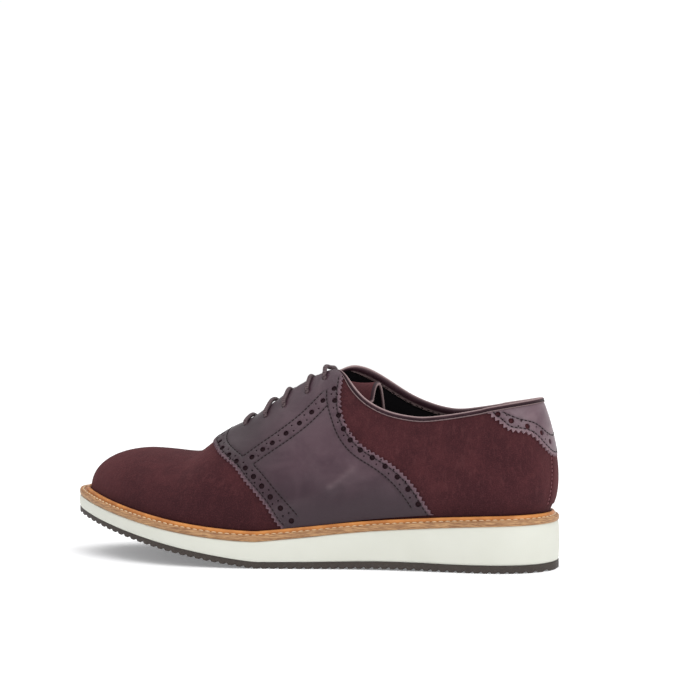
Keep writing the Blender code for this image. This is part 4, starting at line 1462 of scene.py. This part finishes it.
def make_tongue():
    """The tongue: suede outside, lining under it, and a bound edge round its free end."""
    top, normal = tongue_grid()
    under = top - normal * TONGUE_THICK
    count, size = top.shape[:2]
    index = np.arange(count * size).reshape(count, size)
    faces = np.stack([index[1:, :-1], index[1:, 1:], index[:-1, 1:], index[:-1, :-1]], axis=-1).reshape(-1, 4)
    outside, back = top.reshape(-1, 3), under.reshape(-1, 3)
    walled("suede_tongue", outside, back, faces, [SUEDE, LINING], "burgundy_suede", nodes=["tongue"])
    middle = (top + under) / 2
    path = np.vstack([middle[30:, 0], middle[-1, 1:-1], middle[30:, -1][::-1]])
    run = lengths_along(path)
    rings = swept(picked(path, run, np.linspace(0, run[-1], int(run[-1] / 1.4))), 1.3, 12)
    # The edge mark paints a highlight in a stripe along the bound edge.
    edge = [0, 0, 0, 0, 0, 0.3, 0.9, 0.9, 0.3, 0, 0, 0]
    marks = {"edge": np.tile(edge, len(rings)), "seam": np.zeros(len(edge) * len(rings))}
    lofted("tongue_binding", rings, [TRIM], "plum_leather", marks=marks, sharp=70)


def make_lace():
    """Bars that come up through the outer eyelets, cross both facings and go down through the inner ones."""
    for number, (along, hump, hole) in enumerate(zip(LACE_PLACES, LACE_HUMPS, EYELET_REACHES), 1):
        halves = []
        for side in (1, -1):
            angle = angle_on(along, side)
            reach = float(facing_reach(np.array(angle)))
            stops = (
                (hole + 0.2, -2.6),
                (hole + 0.2, 0.2),
                (hole - 0.6, 1.9),
                (hole * 0.72, 2.55),
                (hole * 0.4, 2.6),
                (0.8, 2.65 + 0.2 * hump),
            )
            points = []
            for step, lift in stops:
                turn = turn_at_reach(angle, reach + step)
                points.append(last(angle, turn) + last_normal(angle, turn) * lift)
            halves.append(points)
        peak = (halves[0][-1] + halves[1][-1]) / 2 + np.array([0, 0, hump])
        path = smooth(np.array([*halves[0], peak, *halves[1][::-1]]), 64)
        rings = swept(path, LACE_THICK / 2, 14)
        lofted(f"lace_{number}", rings, [BRAID], "lace_cord", nodes=[f"lace_bar_{number}"], sharp=80)


# Studio


# Place in mm, turns in degrees, focal length and sensor in mm
CAMERA_PLACE = np.array([-215.3, 1228.0, 174.4])
CAMERA_TURN, CAMERA_DOWN = 15.5, 2.2024
LENS, SENSOR = 110.35, 36


def make_camera():
    """The photograph's view, from the outer side, a little behind the shoe and above it."""
    place = CAMERA_PLACE - MIDDLE
    turn, down = math.radians(CAMERA_TURN), math.radians(CAMERA_DOWN)
    ahead = Vector((math.cos(down) * math.sin(turn), -math.cos(down) * math.cos(turn), -math.sin(down)))
    right = Vector((-math.cos(turn), -math.sin(turn), 0))
    camera = bpy.data.objects.new("camera", bpy.data.cameras.new("camera"))
    camera.data.lens, camera.data.sensor_width = LENS, SENSOR
    axes = Matrix((right, right.cross(ahead), -ahead)).transposed().to_4x4()
    camera.matrix_world = Matrix.Translation(Vector(place) * METRES) @ axes
    bpy.context.scene.collection.objects.link(camera)
    bpy.context.scene.camera = camera


def make_light(name, place, aim, width, height, watts):
    lamp = bpy.data.lights.new(name, "AREA")
    lamp.shape, lamp.size, lamp.size_y, lamp.energy = "RECTANGLE", width, height, watts
    holder = bpy.data.objects.new(name, lamp)
    holder.location = place
    holder.rotation_euler = (Vector(aim) - Vector(place)).to_track_quat("-Z", "Y").to_euler()
    bpy.context.scene.collection.objects.link(holder)


#   name  place  aim  width  height  watts
LAMPS = (
    ("overhead", (-0.15, -0.10, 1.5), (0, 0, 0.03), 3.4, 3.0, 21),
    ("front_left", (0.9, 1.3, 1.1), (0.05, 0, 0.05), 0.8, 0.8, 2.0),
    ("front_right", (-1.25, 0.95, 0.85), (-0.03, 0, 0.06), 0.9, 0.7, 7),
)

#   how high in the sky, brightness
SKY = ((0.0, 1.02), (0.17, 1.02), (0.26, 0.42), (0.60, 0.45), (0.82, 1.0), (0.98, 1.0))


def make_studio():
    bpy.ops.object.select_all(action="DESELECT")
    bpy.ops.mesh.primitive_plane_add(size=3.4, location=(0, 0, 0))
    floor = bpy.context.object
    floor.name = "pale_floor"
    floor.data.materials.append(pale_floor())
    world = bpy.data.worlds.new("studio")
    world.use_nodes = True
    tree = world.node_tree
    sky, parts = tree.nodes.new("ShaderNodeTexCoord"), tree.nodes.new("ShaderNodeSeparateXYZ")
    ramp = tree.nodes.new("ShaderNodeValToRGB")
    tree.links.new(sky.outputs["Generated"], parts.inputs[0])
    tree.links.new(parts.outputs["Z"], ramp.inputs["Fac"])
    for place, light in SKY:
        stop = ramp.color_ramp.elements[0] if place == 0 else ramp.color_ramp.elements.new(place)
        stop.position, stop.color = place, (light, light, light, 1)
    ramp.color_ramp.elements.remove(ramp.color_ramp.elements[-1])
    tree.links.new(ramp.outputs["Color"], tree.nodes["Background"].inputs["Color"])
    tree.nodes["Background"].inputs["Strength"].default_value = 1.0
    bpy.context.scene.world = world
    for lamp in LAMPS:
        make_light(*lamp)
    bpy.context.scene.view_settings.view_transform = "Standard"


make_camera()
make_outsole()
slab("foam_wedge", MIDSOLE_PROFILE, midsole_bottom, midsole_top, 260, [FOAM], "white_foam", ["midsole"])
slab(
    "inner_sole",
    INSOLE_PROFILE,
    lambda x: midsole_top(x) + GAP,
    lambda x: shelf(x) + INSOLE_RAISED,
    160,
    [LINING],
    "insole_leather",
    ["insole"],
    lambda angle: welt_reach(angle) + WELT_SEAT + GAP,
)
make_welt()
make_upper()
make_saddle()
make_heel_tab()
make_back_strip()
make_binding()
make_tongue()
make_lace()
make_studio()
